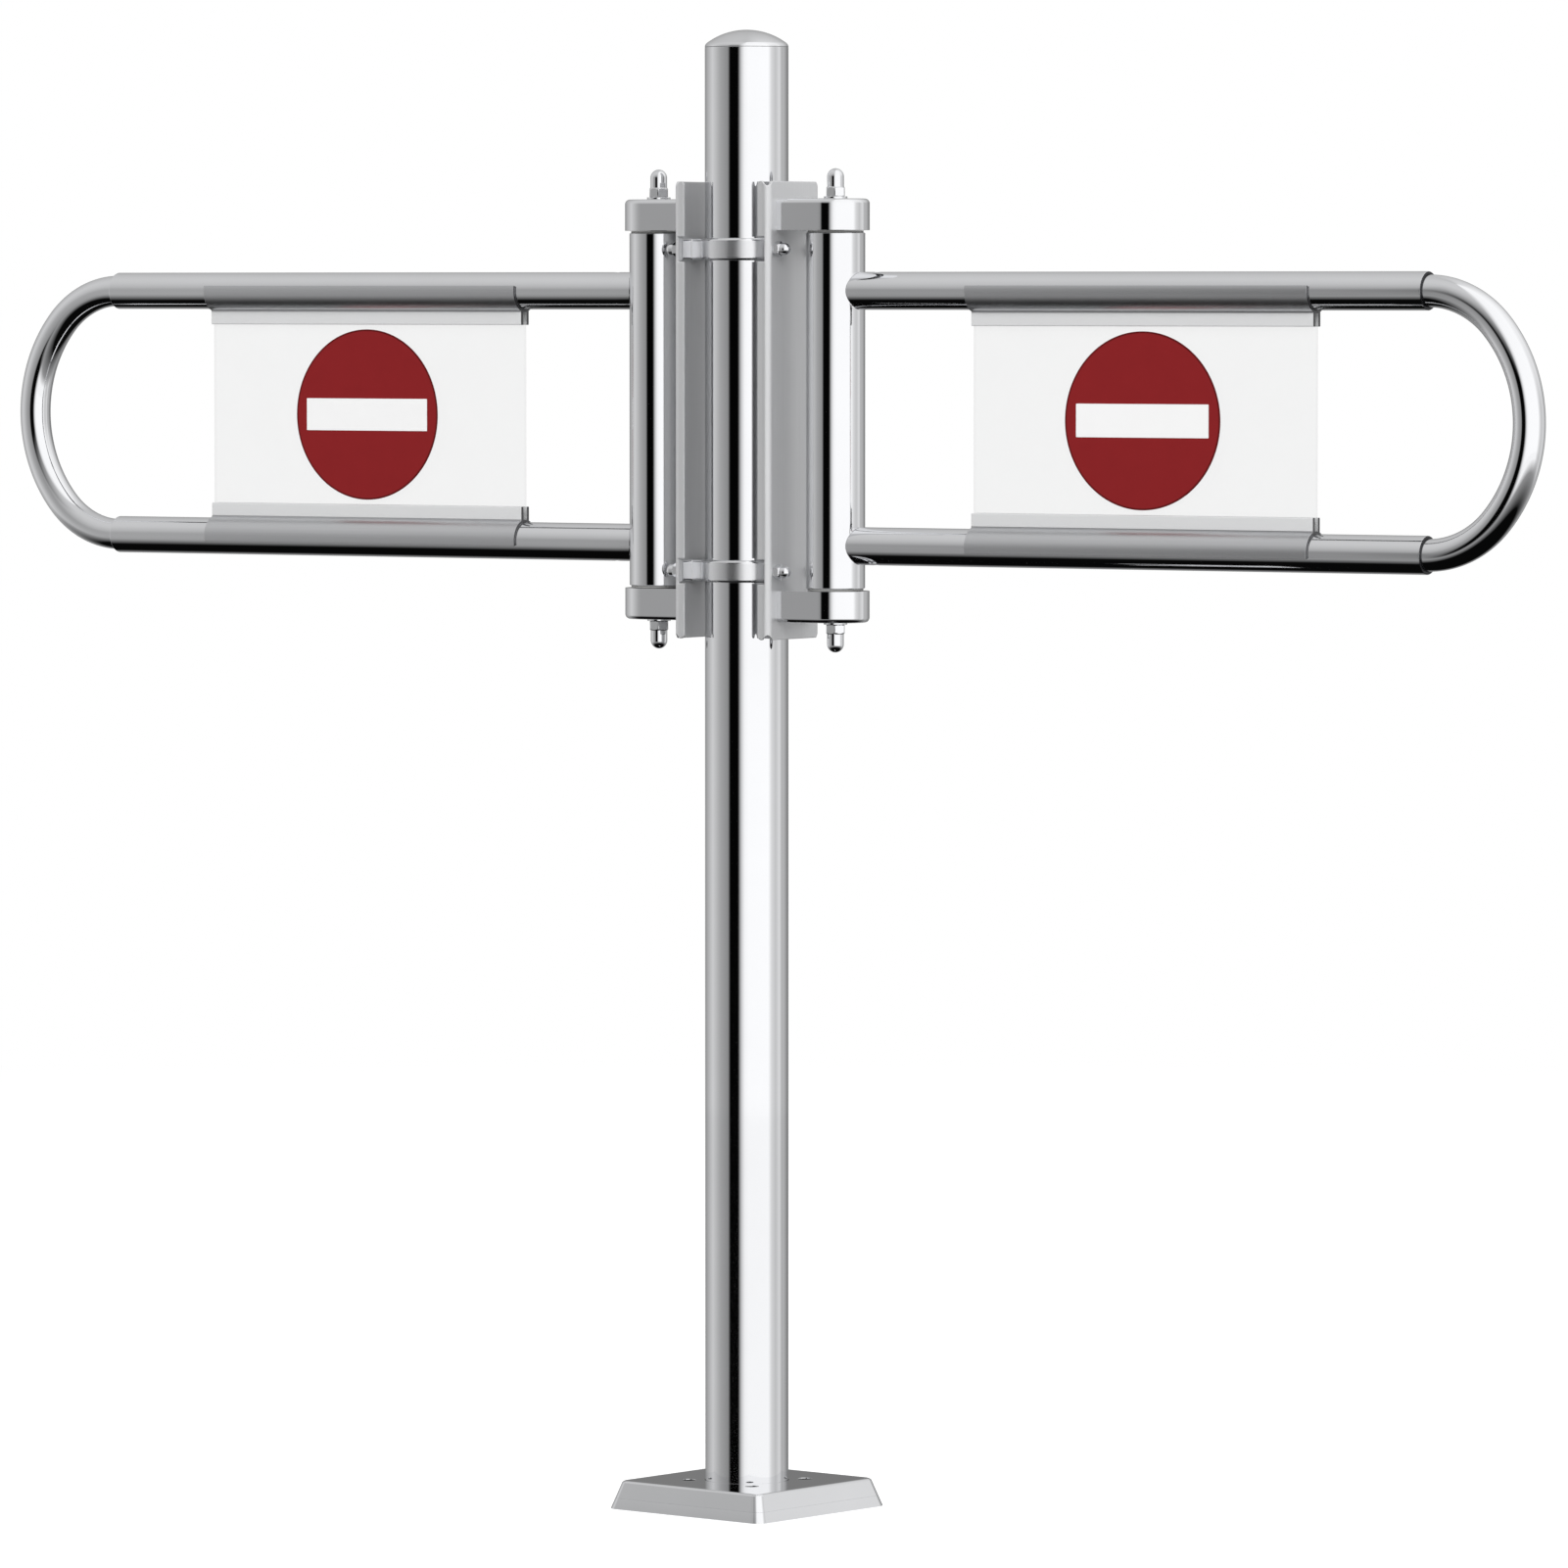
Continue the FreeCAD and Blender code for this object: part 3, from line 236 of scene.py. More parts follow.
class Tree:
    """Shader tree that is filled node by node."""

    def __init__(self, owner):
        owner.use_nodes = True
        self.nodes = owner.node_tree.nodes
        self.links = owner.node_tree.links
        self.nodes.clear()

    def add(self, kind, settings=None, sockets=None):
        """Node of a kind: its settings are set first, then the values or links of its sockets."""
        node = self.nodes.new(kind)
        for name, value in (settings or {}).items():
            if name == "stops":
                self.set_stops(node.color_ramp, value)
            else:
                setattr(node, name, value)
        for name, value in (sockets or {}).items():
            if isinstance(value, Wire):
                self.links.new(value.socket, node.inputs[name])
            else:
                node.inputs[name].default_value = value
        return Node(self, node)

    def set_stops(self, ramp, stops):
        """Places and grey levels of a ramp."""
        while len(ramp.elements) < len(stops):
            ramp.elements.new(1.0)
        for element, (place, level) in zip(ramp.elements, stops):
            element.position = place
            element.color = (level, level, level, 1)

    def place(self):
        """Position on the piece, in metres of the frame."""
        return self.add("ShaderNodeTexCoord").out("Object")

    def stretched(self, place, scale):
        """Position scaled apart in its three directions."""
        return self.add("ShaderNodeMapping", None, {"Vector": place, "Scale": scale}).out()

    def parts(self, place):
        """Node with the three parts of a position."""
        return self.add("ShaderNodeSeparateXYZ", None, {0: place})

    def vector(self, operation, *vectors):
        """Vector Math node."""
        return self.add("ShaderNodeVectorMath", {"operation": operation}, dict(enumerate(vectors)))

    def noise(self, place, scale, detail=3.0, roughness=0.5):
        """Cloudy value about one half."""
        return self.add("ShaderNodeTexNoise", None, {"Vector": place, "Scale": scale, "Detail": detail,
                                                     "Roughness": roughness}).out()

    def ramp(self, value, stops):
        """Value carried through grey stops."""
        return self.add("ShaderNodeValToRGB", {"stops": stops}, {"Fac": value}).out("Color")

    def mixed(self, factor, first, second):
        """Two colours, or wires of colours, mixed by a value."""
        first, second = (tint if isinstance(tint, Wire) else (*tint, 1) for tint in (first, second))
        return self.add("ShaderNodeMix", {"data_type": "RGBA"},
                        {"Factor": factor, 6: first, 7: second}).out(2)

    def faded(self, factor, tint, by):
        """Colour that loses part of its light as a value rises."""
        return self.mixed(factor, tint, darker(tint, by))

    def bump(self, height, depth, strength):
        """Normal that follows a height of the given depth."""
        return self.add("ShaderNodeBump", None, {"Strength": strength, "Distance": depth,
                                                 "Height": height}).out()

    def glow(self, tint, strength=1.0):
        """Shader with a light of its own."""
        return self.add("ShaderNodeEmission", None, {"Color": tint, "Strength": strength}).out()

    def either(self, factor, first, second):
        """Two shaders mixed by a value."""
        return self.add("ShaderNodeMixShader", None, {0: factor, 1: first, 2: second}).out()

    def result(self, shader, kind="ShaderNodeOutputMaterial"):
        """Makes a shader the tree's result."""
        self.add(kind, None, {"Surface": shader})

    def surface(self, sockets):
        """Makes a Principled surface the tree's result."""
        self.result(self.add("ShaderNodeBsdfPrincipled", None, sockets).out())


def darker(tint, by):
    """Colour with part of its light taken away."""
    return tuple(channel * (1 - by) for channel in tint)


def new_finish(name):
    """Tree of a new, empty material."""
    return Tree(bpy.data.materials.new(name))


def polished_chrome(finishes):
    """Mirror plate with a faint haze, wiping marks and the slight ripple of polished tube."""
    tree = new_finish("polished_chrome")
    place = tree.place()
    cloud = tree.noise(place, scale=14.0, detail=4.0, roughness=0.6)
    wiped = tree.noise(tree.stretched(place, (40.0, 40.0, 9.0)), scale=3.0, detail=5.0, roughness=0.65)
    ripple = tree.noise(place, scale=45.0, detail=1.0)
    tree.surface({
        "Base Color": tree.faded(cloud, finishes.chrome, 0.06),
        "Metallic": 1.0,
        "Roughness": finishes.chrome_haze + 0.05 * (wiped - 0.5).most(0.0) + 0.02 * cloud,
        "Normal": tree.bump(ripple, depth=0.02 * MM, strength=0.25),
    })


def brushed_plate(name, tint, haze, metal):
    """Sheet with fine upright brush lines, which blur what it reflects."""
    tree = new_finish(name)
    place = tree.place()
    lines = tree.noise(tree.stretched(place, (700.0, 700.0, 12.0)), scale=1.0, roughness=0.6)
    cloud = tree.noise(place, scale=30.0)
    tree.surface({
        "Base Color": tree.faded(lines, tint, 0.06),
        "Metallic": metal,
        "Roughness": haze + 0.08 * (lines - 0.5) + 0.05 * (cloud - 0.5),
        "Normal": tree.bump(lines, depth=0.01 * MM, strength=0.2),
    })


def drawn_aluminium(finishes, lower, upper):
    """Satin section with fine lines along its length, and paler lips between two heights."""
    tree = new_finish("drawn_aluminium")
    place = tree.place()
    height = tree.parts(place).out("Z")
    on_lip = (height > lower) * (height < upper)
    lines = tree.noise(tree.stretched(place, (4.0, 900.0, 900.0)), scale=1.0, roughness=0.7)
    cloud = tree.noise(place, scale=25.0)
    tree.surface({
        "Base Color": tree.mixed(on_lip, tree.faded(lines, finishes.aluminium, 0.1), finishes.lip),
        "Metallic": 1.0 - 0.95 * on_lip,
        "Roughness": finishes.aluminium_haze + 0.12 * (lines - 0.5) + 0.05 * cloud + 0.1 * on_lip,
        "Normal": tree.bump(lines, depth=0.02 * MM, strength=0.3),
    })


def worked_metal(name, tint, haze, grain):
    """Metal without plating: tool marks and a little oil."""
    tree = new_finish(name)
    place = tree.place()
    marks = tree.noise(tree.stretched(place, (60.0, 60.0, grain)), scale=1.0, detail=2.0)
    oil = tree.noise(place, scale=60.0, detail=4.0)
    tree.surface({
        "Base Color": tree.faded(oil, tint, 0.25),
        "Metallic": 1.0,
        "Roughness": haze + 0.15 * (marks - 0.5) + 0.1 * oil,
        "Normal": tree.bump(marks, depth=0.02 * MM, strength=0.4),
    })


def moulded_plastic(finishes):
    """Moulded bush with a fine grain."""
    tree = new_finish("moulded_plastic")
    grain = tree.noise(tree.place(), scale=900.0, detail=2.0)
    tree.surface({
        "Base Color": tree.faded(grain, finishes.plastic, 0.3),
        "Roughness": 0.42 + 0.15 * grain,
        "Normal": tree.bump(grain, depth=0.03 * MM, strength=0.3),
    })


def clear_acrylic(finishes, low, high):
    """Clear panel that shows at its sawn ends and a little on its faces."""
    tree = new_finish("clear_acrylic")
    place = tree.place()
    from_middle = abs(abs(tree.parts(place).out("X")) - (low + high) / 2)
    sawn = from_middle > (high - low) / 2 - 0.05 * MM
    wiped = tree.noise(place, scale=30.0, detail=4.0, roughness=0.6)
    tree.surface({
        "Base Color": tree.faded(sawn, finishes.clear, 0.1),
        "Roughness": 0.04 + 0.06 * wiped + 0.3 * sawn,
        "IOR": 1.49,
        "Alpha": finishes.clear_body + 0.02 * (wiped - 0.5) + 0.02 * sawn,
    })


def printed_film(name, tint, fade, rim=None):
    """Printed sign film with the slight unevenness of ink, and a darker line at a disc's rim."""
    tree = new_finish(name)
    place = tree.place()
    ink = tree.noise(place, scale=55.0, detail=4.0, roughness=0.6)
    fleck = tree.noise(place, scale=1400.0, detail=2.0)
    ground = tree.faded(ink, tint, fade)
    if rim:
        parts, line_width = tree.parts(place), 1.3 * MM
        middle, height, radius = rim
        across = abs(parts.out("X")) - middle
        above = parts.out("Z") - height
        line = (across * across + above * above) > (radius - line_width) ** 2
        ground = tree.mixed(line, ground, darker(tint, 0.55))
    tree.surface({
        "Base Color": ground,
        "Roughness": 0.5 + 0.1 * fleck,
        "Specular IOR Level": 0.05,
        "Normal": tree.bump(fleck, depth=0.01 * MM, strength=0.2),
    })


def make_finishes(finishes):
    """Makes all finishes, unless they are there."""
    if "polished_chrome" in bpy.data.materials:
        return
    low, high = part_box("right_sign_panel")
    disc_low, disc_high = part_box("right_sign_disc")
    middle = (disc_low + disc_high) / 2
    polished_chrome(finishes)
    brushed_plate("brushed_plate", finishes.satin, finishes.satin_haze, 1.0)
    brushed_plate("matt_plate", finishes.matt, finishes.matt_haze, finishes.matt_metal)
    drawn_aluminium(finishes, low.z, high.z)
    worked_metal("turned_steel", finishes.steel, haze=0.28, grain=2500.0)
    worked_metal("oiled_spring_wire", finishes.spring, haze=0.35, grain=600.0)
    # Blackened set screws, and rail ends whose black is partly painted shade of the joint with the bow.
    worked_metal("blackened_steel_and_joint_shade", finishes.black, haze=0.4, grain=900.0)
    worked_metal("sawn_ends", finishes.sawn, haze=0.45, grain=900.0)
    moulded_plastic(finishes)
    clear_acrylic(finishes, low.x, high.x)
    printed_film("sign_red_film", finishes.red, 0.1, (middle.x, middle.z, disc_high.x - middle.x))
    printed_film("sign_white_film", finishes.white, 0.03)
    printed_film("sign_backing", darker(finishes.white, 0.25), 0.06)


def centre_of(node):
    """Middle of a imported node's box."""
    return [(first + last) / 2 for first, last in zip(*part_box(node))]


def upright_axis(node):
    """Place of the upright axis of a node of the right wing."""
    return Matrix.Translation((centre_of(node)[0], 0, 0))


def rail_axis(level, plain):
    """Place of a right rail's axis, turned half round about it unless the level is the plain one."""
    axis = Matrix.Translation((0, 0, centre_of(f"right_{level}_rail")[2]))
    return axis @ Matrix.Rotation(0 if level == plain else math.pi, 4, "X")


def rounded(corners, steps=6, closed=True):
    """Outline with its corners rounded. A corner is (x, y), or (x, y, radius)."""
    points = [Vector(corner[:2]) for corner in corners]
    outline = []
    for index, point in enumerate(points):
        radius = corners[index][2] if len(corners[index]) == 3 else 0
        at_end = not closed and index in (0, len(points) - 1)
        if not radius or at_end:
            outline.append(point)
            continue
        back = (points[index - 1] - point).normalized()
        ahead = (points[(index + 1) % len(points)] - point).normalized()
        half = back.angle(ahead) / 2
        centre = point + (back + ahead).normalized() * (radius / math.sin(half))
        first = point + back * (radius / math.tan(half)) - centre
        last = point + ahead * (radius / math.tan(half)) - centre
        sweep = first.angle_signed(last)
        for step in range(steps + 1):
            spoke = first.copy()
            spoke.rotate(Matrix.Rotation(-sweep * step / steps, 2))
            outline.append(centre + spoke)
    return outline


def arc(radius, start, end, steps):
    """Points of an arc about the origin between two angles."""
    turns = [start + (end - start) * step / steps for step in range(steps + 1)]
    return [Vector((radius * math.cos(turn), radius * math.sin(turn))) for turn in turns]


def mirrored(points):
    """Outline on the other side of x = 0, run back."""
    return [Vector((-point.x, point.y)) for point in reversed(points)]


def crowned(height, rounding, way=1):
    """Heights and insets up a rounded rim that ends at a height, or down to it where the way is -1."""
    return [(height - way * rounding * (1 - math.sin(lift)), rounding * (1 - math.cos(lift)))
            for lift in map(math.radians, range(0, 91, 15))]


def angles(steps):
    """Angles of a full turn in equal steps."""
    return [FULL_TURN * step / steps for step in range(steps)]


def circle(radius, height, steps):
    """Points of a level circle about Z."""
    return [(radius * math.cos(turn), radius * math.sin(turn), height) for turn in angles(steps)]


def hexagon(flat, height, steps, reach=math.inf):
    """Points of a level hexagon about Z, cut off round at a reach."""
    points = []
    for turn in angles(steps):
        corner = (turn % math.radians(60)) - math.radians(30)
        radius = min(flat / math.cos(corner), reach)
        points.append((radius * math.cos(turn), radius * math.sin(turn), height))
    return points


def band(bm, first, second, around=True):
    """Quads between two rings of vertices."""
    count = len(first)
    for index in range(count if around else count - 1):
        after = (index + 1) % count
        bm.faces.new((first[index], first[after], second[after], second[index]))


def skin(bm, rings, closed=False, around=True):
    """Quads between rings of equal length, where closed joins the last ring to the first."""
    made = [[bm.verts.new(point) for point in ring] for ring in rings]
    for first, second in zip(made, made[1:] + made[:1] if closed else made[1:]):
        band(bm, first, second, around)
    return made


def lofted(rings):
    """Form through rings of points, with a flat face at each end."""
    bm = bmesh.new()
    made = skin(bm, rings)
    bm.faces.new(made[0])
    bm.faces.new(made[-1])
    return bm


def turned(outline, steps):
    """Form turned about Z from an outline of radius and height."""
    bm = bmesh.new()
    skin(bm, [circle(radius, height, steps) for radius, height in outline], closed=True)
    bmesh.ops.remove_doubles(bm, verts=bm.verts, dist=MERGE)
    bmesh.ops.dissolve_degenerate(bm, dist=MERGE, edges=bm.edges)
    return bm


def pulled(outline, low, high):
    """Flat outline pulled along Z between two heights."""
    return lofted([[(point[0], point[1], height) for point in outline] for height in (low, high)])


def moved(bm, matrix):
    """Form carried by a matrix."""
    bm.transform(matrix)
    return bm


def plate(node, corner):
    """Upright plate that fills a node's box, with rounded corners."""
    low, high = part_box(node)
    corners = ((low.x, low.z), (high.x, low.z), (high.x, high.z), (low.x, high.z))
    return moved(pulled(rounded([(x, z, corner) for x, z in corners]), -high.y, -low.y), UPRIGHT)


def cap_nut(across, head, dome, height):
    """Hexagon head with chamfered ends, a barrel and a round end, seated at z = 0."""
    steps, fillet, tip = 72, 0.4 * MM, 0.02 * MM
    flat, barrel, chamfer = across / 2, dome / 2, math.tan(math.radians(30))
    rim = flat * 0.97
    levels = [0, 0.3 * MM, 0.6 * MM, head - 0.9 * MM, head - 0.5 * MM, head - 0.2 * MM, head]
    rings = [hexagon(flat, level, steps, rim + min(level, head - level) / chamfer) for level in levels]
    shoulder = height - barrel
    profile = [(barrel + fillet, head), (barrel, head + fillet), (barrel, shoulder)]
    profile += [(barrel * math.cos(lift), shoulder + barrel * math.sin(lift))
                for lift in map(math.radians, range(6, 90, 6))]
    profile.append((tip, height))
    return lofted(rings + [circle(radius, level, steps) for radius, level in profile])


def bevelled(bm, edges, rounding, finish=0):
    """Rounds some edges of a form, where the new faces have the finish of that place on the piece."""
    bmesh.ops.bevel(bm, geom=edges, offset=rounding, offset_type="OFFSET", segments=8, profile=0.5,
                    affect="EDGES", clamp_overlap=False, material=finish)
    return bm


def joined(forms):
    """Several forms in one mesh."""
    whole = bmesh.new()
    for form in forms:
        part = bpy.data.meshes.new("part")
        form.to_mesh(part)
        form.free()
        whole.from_mesh(part)
        bpy.data.meshes.remove(part)
    return whole


def linked(name, data):
    """New object of the scene."""
    item = bpy.data.objects.new(name, data)
    bpy.context.scene.collection.objects.link(item)
    return item


def shown(bm, name, finish):
    """New object of the scene that shows a form in a finish."""
    mesh = bpy.data.meshes.new(name)
    bm.to_mesh(mesh)
    bm.free()
    mesh.materials.append(bpy.data.materials[finish])
    return linked(name, mesh)


def add_piece(bm, node, body="post", finish="polished_chrome", name=None, edge=0.0, steps=3,
              crisp=38.0):
    """Makes the piece that stands for a node, rounds its edges and, given a body, has it ride on that."""
    bmesh.ops.recalc_face_normals(bm, faces=bm.faces)
    piece = shown(bm, name or f"{node}_finish", finish)
    piece.data.shade_smooth()
    piece.data.set_sharp_from_angle(angle=math.radians(crisp))
    if edge:
        rounding = piece.modifiers.new("edges", "BEVEL")
        rounding.width = edge
        rounding.segments = steps
        rounding.limit_method = "ANGLE"
        rounding.angle_limit = math.radians(BEVEL_LIMIT)
        rounding.use_clamp_overlap = True
    weights = piece.modifiers.new("flats", "WEIGHTED_NORMAL")
    weights.keep_sharp = True
    if body:
        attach(piece, body)
    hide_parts(node)
    return piece


def refinish(piece, finish, chosen):
    """Gives the faces of a piece that are chosen a second finish."""
    piece.data.materials.append(bpy.data.materials[finish])
    for face in piece.data.polygons:
        face.material_index = int(chosen(face))


class GateOperator:
    """What the makers of pieces share."""

    bl_options = {"REGISTER", "UNDO"}

    def execute(self, context):
        """Makes the pieces from the scene's sizes and finishes."""
        make_finishes(context.scene.gate_finishes)
        self.make(context.scene.gate_sizes)
        return {"FINISHED"}


class GATE_OT_base(GateOperator, bpy.types.Operator):
    """Make the floor plate and the cover on it, with their anchor holes"""

    bl_idname = "gate.base"
    bl_label = "Base"

    def filled(self, bm, loops):
        """Flat faces between an outer loop and the holes in it."""
        edges = []
        for loop in loops:
            edges += [bm.edges.get((first, second)) or bm.edges.new((first, second))
                      for first, second in zip(loop, loop[1:] + loop[:1])]
        bmesh.ops.triangle_fill(bm, use_beauty=True, use_dissolve=True, edges=edges)

    def tier(self, sizes, node, profile, holes):
        """Sloping tier of the base: rings along a profile of height and inset, with holes right through."""
        low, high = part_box(node)
        rise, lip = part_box("base_cover")[1].z, sizes.edge
        corner_taper, corner_steps, hole_steps = 0.25, 10, 64
        rings = []
        for height, inset in profile:
            part = height / rise
            half = (sizes.base_foot + (sizes.base_top - sizes.base_foot) * part - 2 * inset) / 2
            corner = sizes.base_corner * (1 - corner_taper * part)
            corners = ((half, -half), (half, half), (-half, half), (-half, -half))
            outline = rounded([(x, y, corner) for x, y in corners], corner_steps)
            rings.append([(point.x, point.y, height) for point in outline])
        bm = bmesh.new()
        made = skin(bm, rings)
        feet, tops = [made[0]], [made[-1]]
        levels = ((low.z, 0), (high.z - lip, 0), (high.z - EASE * lip, EASE * lip), (high.z, lip))
        for x, y, radius in holes:
            hole = skin(bm, [[(x + east, y + north, height)
                              for east, north, height in circle(radius + wider, level, hole_steps)]
                             for level, wider in levels])
            feet.append(hole[0])
            tops.append(hole[-1])
        self.filled(bm, feet)
        self.filled(bm, tops)
        return moved(bm, Matrix.Rotation(sizes.base_turn, 4, "Z"))

    def make(self, sizes):
        spot = sizes.anchor_circle / math.sqrt(2)
        anchors = [(x, y, sizes.anchor_hole / 2) for x in (spot, -spot) for y in (spot, -spot)]
        split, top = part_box("base_plate")[1].z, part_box("base_cover")[1].z
        lip, seam, crown, post_gap = sizes.edge, sizes.seam, 1.6 * MM, 0.2 * MM
        plate_rim = [(0, lip), (EASE * lip, EASE * lip), (lip, 0), (split - seam, 0), (split, seam)]
        cover_rim = [(split, seam), (split + seam, 0), *crowned(top, crown)]
        post = (0, 0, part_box("post_tube")[1].x + post_gap)
        add_piece(self.tier(sizes, "base_plate", plate_rim, anchors), "base_plate")
        add_piece(self.tier(sizes, "base_cover", cover_rim, [*anchors, post]), "base_cover")


class GATE_OT_post(GateOperator, bpy.types.Operator):
    """Make the post and its domed cap"""

    bl_idname = "gate.post"
    bl_label = "Post"

    def make(self, sizes):
        low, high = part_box("post_tube")
        radius, bore, lip = high.x, high.x - sizes.tube_wall, 0.3 * MM
        outline = rounded([(bore, low.z), (radius, low.z), (radius, high.z, lip), (bore, high.z)])
        add_piece(turned(outline, sizes.around), "post_tube")

        skirt, crown = (corner.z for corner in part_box("post_cap"))
        rise, shoulder = crown - high.z, sizes.cap_shoulder
        middle = radius - shoulder
        dome = (middle ** 2 + rise ** 2 - shoulder ** 2) / (2 * (rise - shoulder))
        centre = crown - dome
        lean = math.atan2(middle, high.z - centre)
        inside, seat = bore - 0.1 * MM, high.z + 0.05 * MM
        outline = [(HAIR, skirt), (inside, skirt), (inside, seat), (radius - lip, seat)]
        shoulder_steps, dome_steps = 16, 32
        for step in range(1, shoulder_steps + 1):
            turn = (QUARTER - lean) * step / shoulder_steps
            outline.append((middle + shoulder * math.cos(turn), high.z + shoulder * math.sin(turn)))
        for step in range(1, dome_steps + 1):
            turn = lean * (1 - step / dome_steps)
            outline.append((max(dome * math.sin(turn), HAIR), centre + dome * math.cos(turn)))
        add_piece(turned(outline, sizes.around), "post_cap")


class GATE_OT_straps(GateOperator, bpy.types.Operator):
    """Make the four straps that clamp the brackets to the post"""

    bl_idname = "gate.straps"
    bl_label = "Straps"

    def eased(self, bm, first, last, rounding):
        """Strap with rounded rims on its outer side, between two places on its outline."""
        bmesh.ops.recalc_face_normals(bm, faces=bm.faces)
        bm.verts.ensure_lookup_table()
        rims = [bm.edges.get((bm.verts[foot + place], bm.verts[foot + place + 1]))
                for foot in (0, len(bm.verts) // 2) for place in range(first, last)]
        return bevelled(bm, rims, rounding, finish=1)

    def make(self, sizes):
        low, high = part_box("clamp_strap_rear_upper")
        sheet, bend, steps = sizes.sheet, sizes.strap_bend, 48
        outer, bore = high.y, high.y - sheet
        root, flat, tip = low.y, low.y + sheet, high.y - sizes.ear_drop
        reach, face = high.x, high.x - sheet
        start, end = math.asin(flat / outer), math.asin(root / bore)
        right = rounded([(bore * math.cos(end), root), (reach, root, bend), (reach, tip), (face, tip),
                         (face, flat, bend - sheet), (outer * math.cos(start), flat)], closed=False)
        outline = right + arc(outer, start, math.pi - start, steps)[1:-1] + mirrored(right)
        first = max(place for place, point in enumerate(right) if point.y > tip - sizes.seam)
        last = len(outline) - 1 - first
        outline += arc(bore, math.pi - end, end, steps)[1:-1]
        for level in LEVELS:
            for way, turn in (("rear", 0), ("front", math.pi)):
                node = f"clamp_strap_{way}_{level}"
                low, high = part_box(node)
                strap = self.eased(pulled(outline, low.z, high.z), first, last, sizes.strap_edge)
                piece = add_piece(moved(strap, Matrix.Rotation(turn, 4, "Z")), node, finish="brushed_plate",
                                  edge=sizes.seam)
                piece.data.materials.append(bpy.data.materials["polished_chrome"])


class GATE_OT_clamp_nuts(GateOperator, bpy.types.Operator):
    """Make the cap nuts on the clamps' studs"""

    bl_idname = "gate.clamp_nuts"
    bl_label = "Clamp Nuts"

    def make(self, sizes):
        reach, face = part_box("clamp_nuts")[1].x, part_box("right_bracket_channel")[1].x
        stud_radius = 3 * MM
        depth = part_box("clamp_studs")[1].y - stud_radius
        nuts = []
        for turn in SIDES.values():
            for level in LEVELS:
                height = centre_of(f"clamp_strap_rear_{level}")[2]
                for way in (depth, -depth):
                    nut = cap_nut(sizes.clamp_nut, sizes.clamp_nut_hex, sizes.clamp_nut_dome, reach - face)
                    seat = Matrix.Translation((face, way, height))
                    nuts.append(moved(nut, turn @ seat @ Matrix.Rotation(QUARTER, 4, "Y")))
        add_piece(joined(nuts), "clamp_nuts", crisp=HEX_CRISP)


class GATE_OT_brackets(GateOperator, bpy.types.Operator):
    """Make the folded channels that carry the hinges"""

    bl_idname = "gate.brackets"
    bl_label = "Brackets"

    def make(self, sizes):
        low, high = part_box("right_bracket_channel")
        bend, steps, near = sizes.bracket_bend, 10, 1 * MM
        section = rounded([(low.x, low.y), (high.x, low.y, bend), (high.x, high.y, bend), (low.x, high.y)],
                          steps, closed=False)
        short = [sizes.bend_relief * math.sin(math.pi * step / steps) for step in range(steps + 1)]
        short = [0, *short, *short, 0]
        levels, notch_heights = [low.z], []
        for level in reversed(LEVELS):
            foot, top = (corner.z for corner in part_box(f"clamp_strap_rear_{level}"))
            levels += [foot - sizes.notch_gap, top + sizes.notch_gap]
            notch_heights.append((levels[-2] + levels[-1]) / 2)
        levels.append(high.z)
        rings = [[(point.x, point.y, level) for point in section] for level in levels]
        rings[0] = [(x, y, level + cut) for (x, y, level), cut in zip(rings[0], short)]
        rings[-1] = [(x, y, level - cut) for (x, y, level), cut in zip(rings[-1], short)]
        for side, turn in SIDES.items():
            bm = bmesh.new()
            skin(bm, rings, around=False)
            notches = []
            for face in bm.faces:
                middle = face.calc_center_median()
                beside_strap = any(abs(middle.z - height) < near for height in notch_heights)
                if middle.x < low.x + sizes.notch and beside_strap:
                    notches.append(face)
            bmesh.ops.delete(bm, geom=notches, context="FACES")
            outward = list(bm.faces)
            bmesh.ops.recalc_face_normals(bm, faces=outward)
            web = max(outward, key=lambda face: face.calc_center_median().x)
            if web.normal.x < 0:
                bmesh.ops.reverse_faces(bm, faces=outward)
            bmesh.ops.solidify(bm, geom=outward, thickness=sizes.sheet)
            corners = [edge for edge in bm.edges
                       if all(vert.co.x < low.x + sizes.seam for vert in edge.verts)
                       and len({round(vert.co.z, 5) for vert in edge.verts}) == 1
                       and min(abs(edge.verts[0].co.z - end) for end in (low.z, high.z)) < sizes.seam]
            bevelled(bm, corners, sizes.bracket_corner)
            add_piece(moved(bm, turn), f"{side}_bracket_channel", finish="matt_plate",
                      name=f"{side}_bracket_finish", edge=sizes.edge)


class GATE_OT_arms(GateOperator, bpy.types.Operator):
    """Make the round-ended arms that hold the axles"""

    bl_idname = "gate.arms"
    bl_label = "Arms"

    def make(self, sizes):
        steps = 80
        for side, turn in SIDES.items():
            for level in LEVELS:
                low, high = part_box(f"right_{level}_arm")
                foot, top = sizes.seam, sizes.arm_edge
                if level == "lower":
                    foot, top = top, foot
                rings = []
                for height, inset in crowned(low.z, foot, -1)[::-1] + crowned(high.z, top):
                    reach = high.y - inset
                    end = [(high.x - high.y + point.x, point.y, height)
                           for point in arc(reach, -QUARTER, QUARTER, steps)]
                    rings.append([(low.x, -reach, height), *end, (low.x, reach, height)])
                add_piece(moved(lofted(rings), turn), f"{side}_{level}_arm")


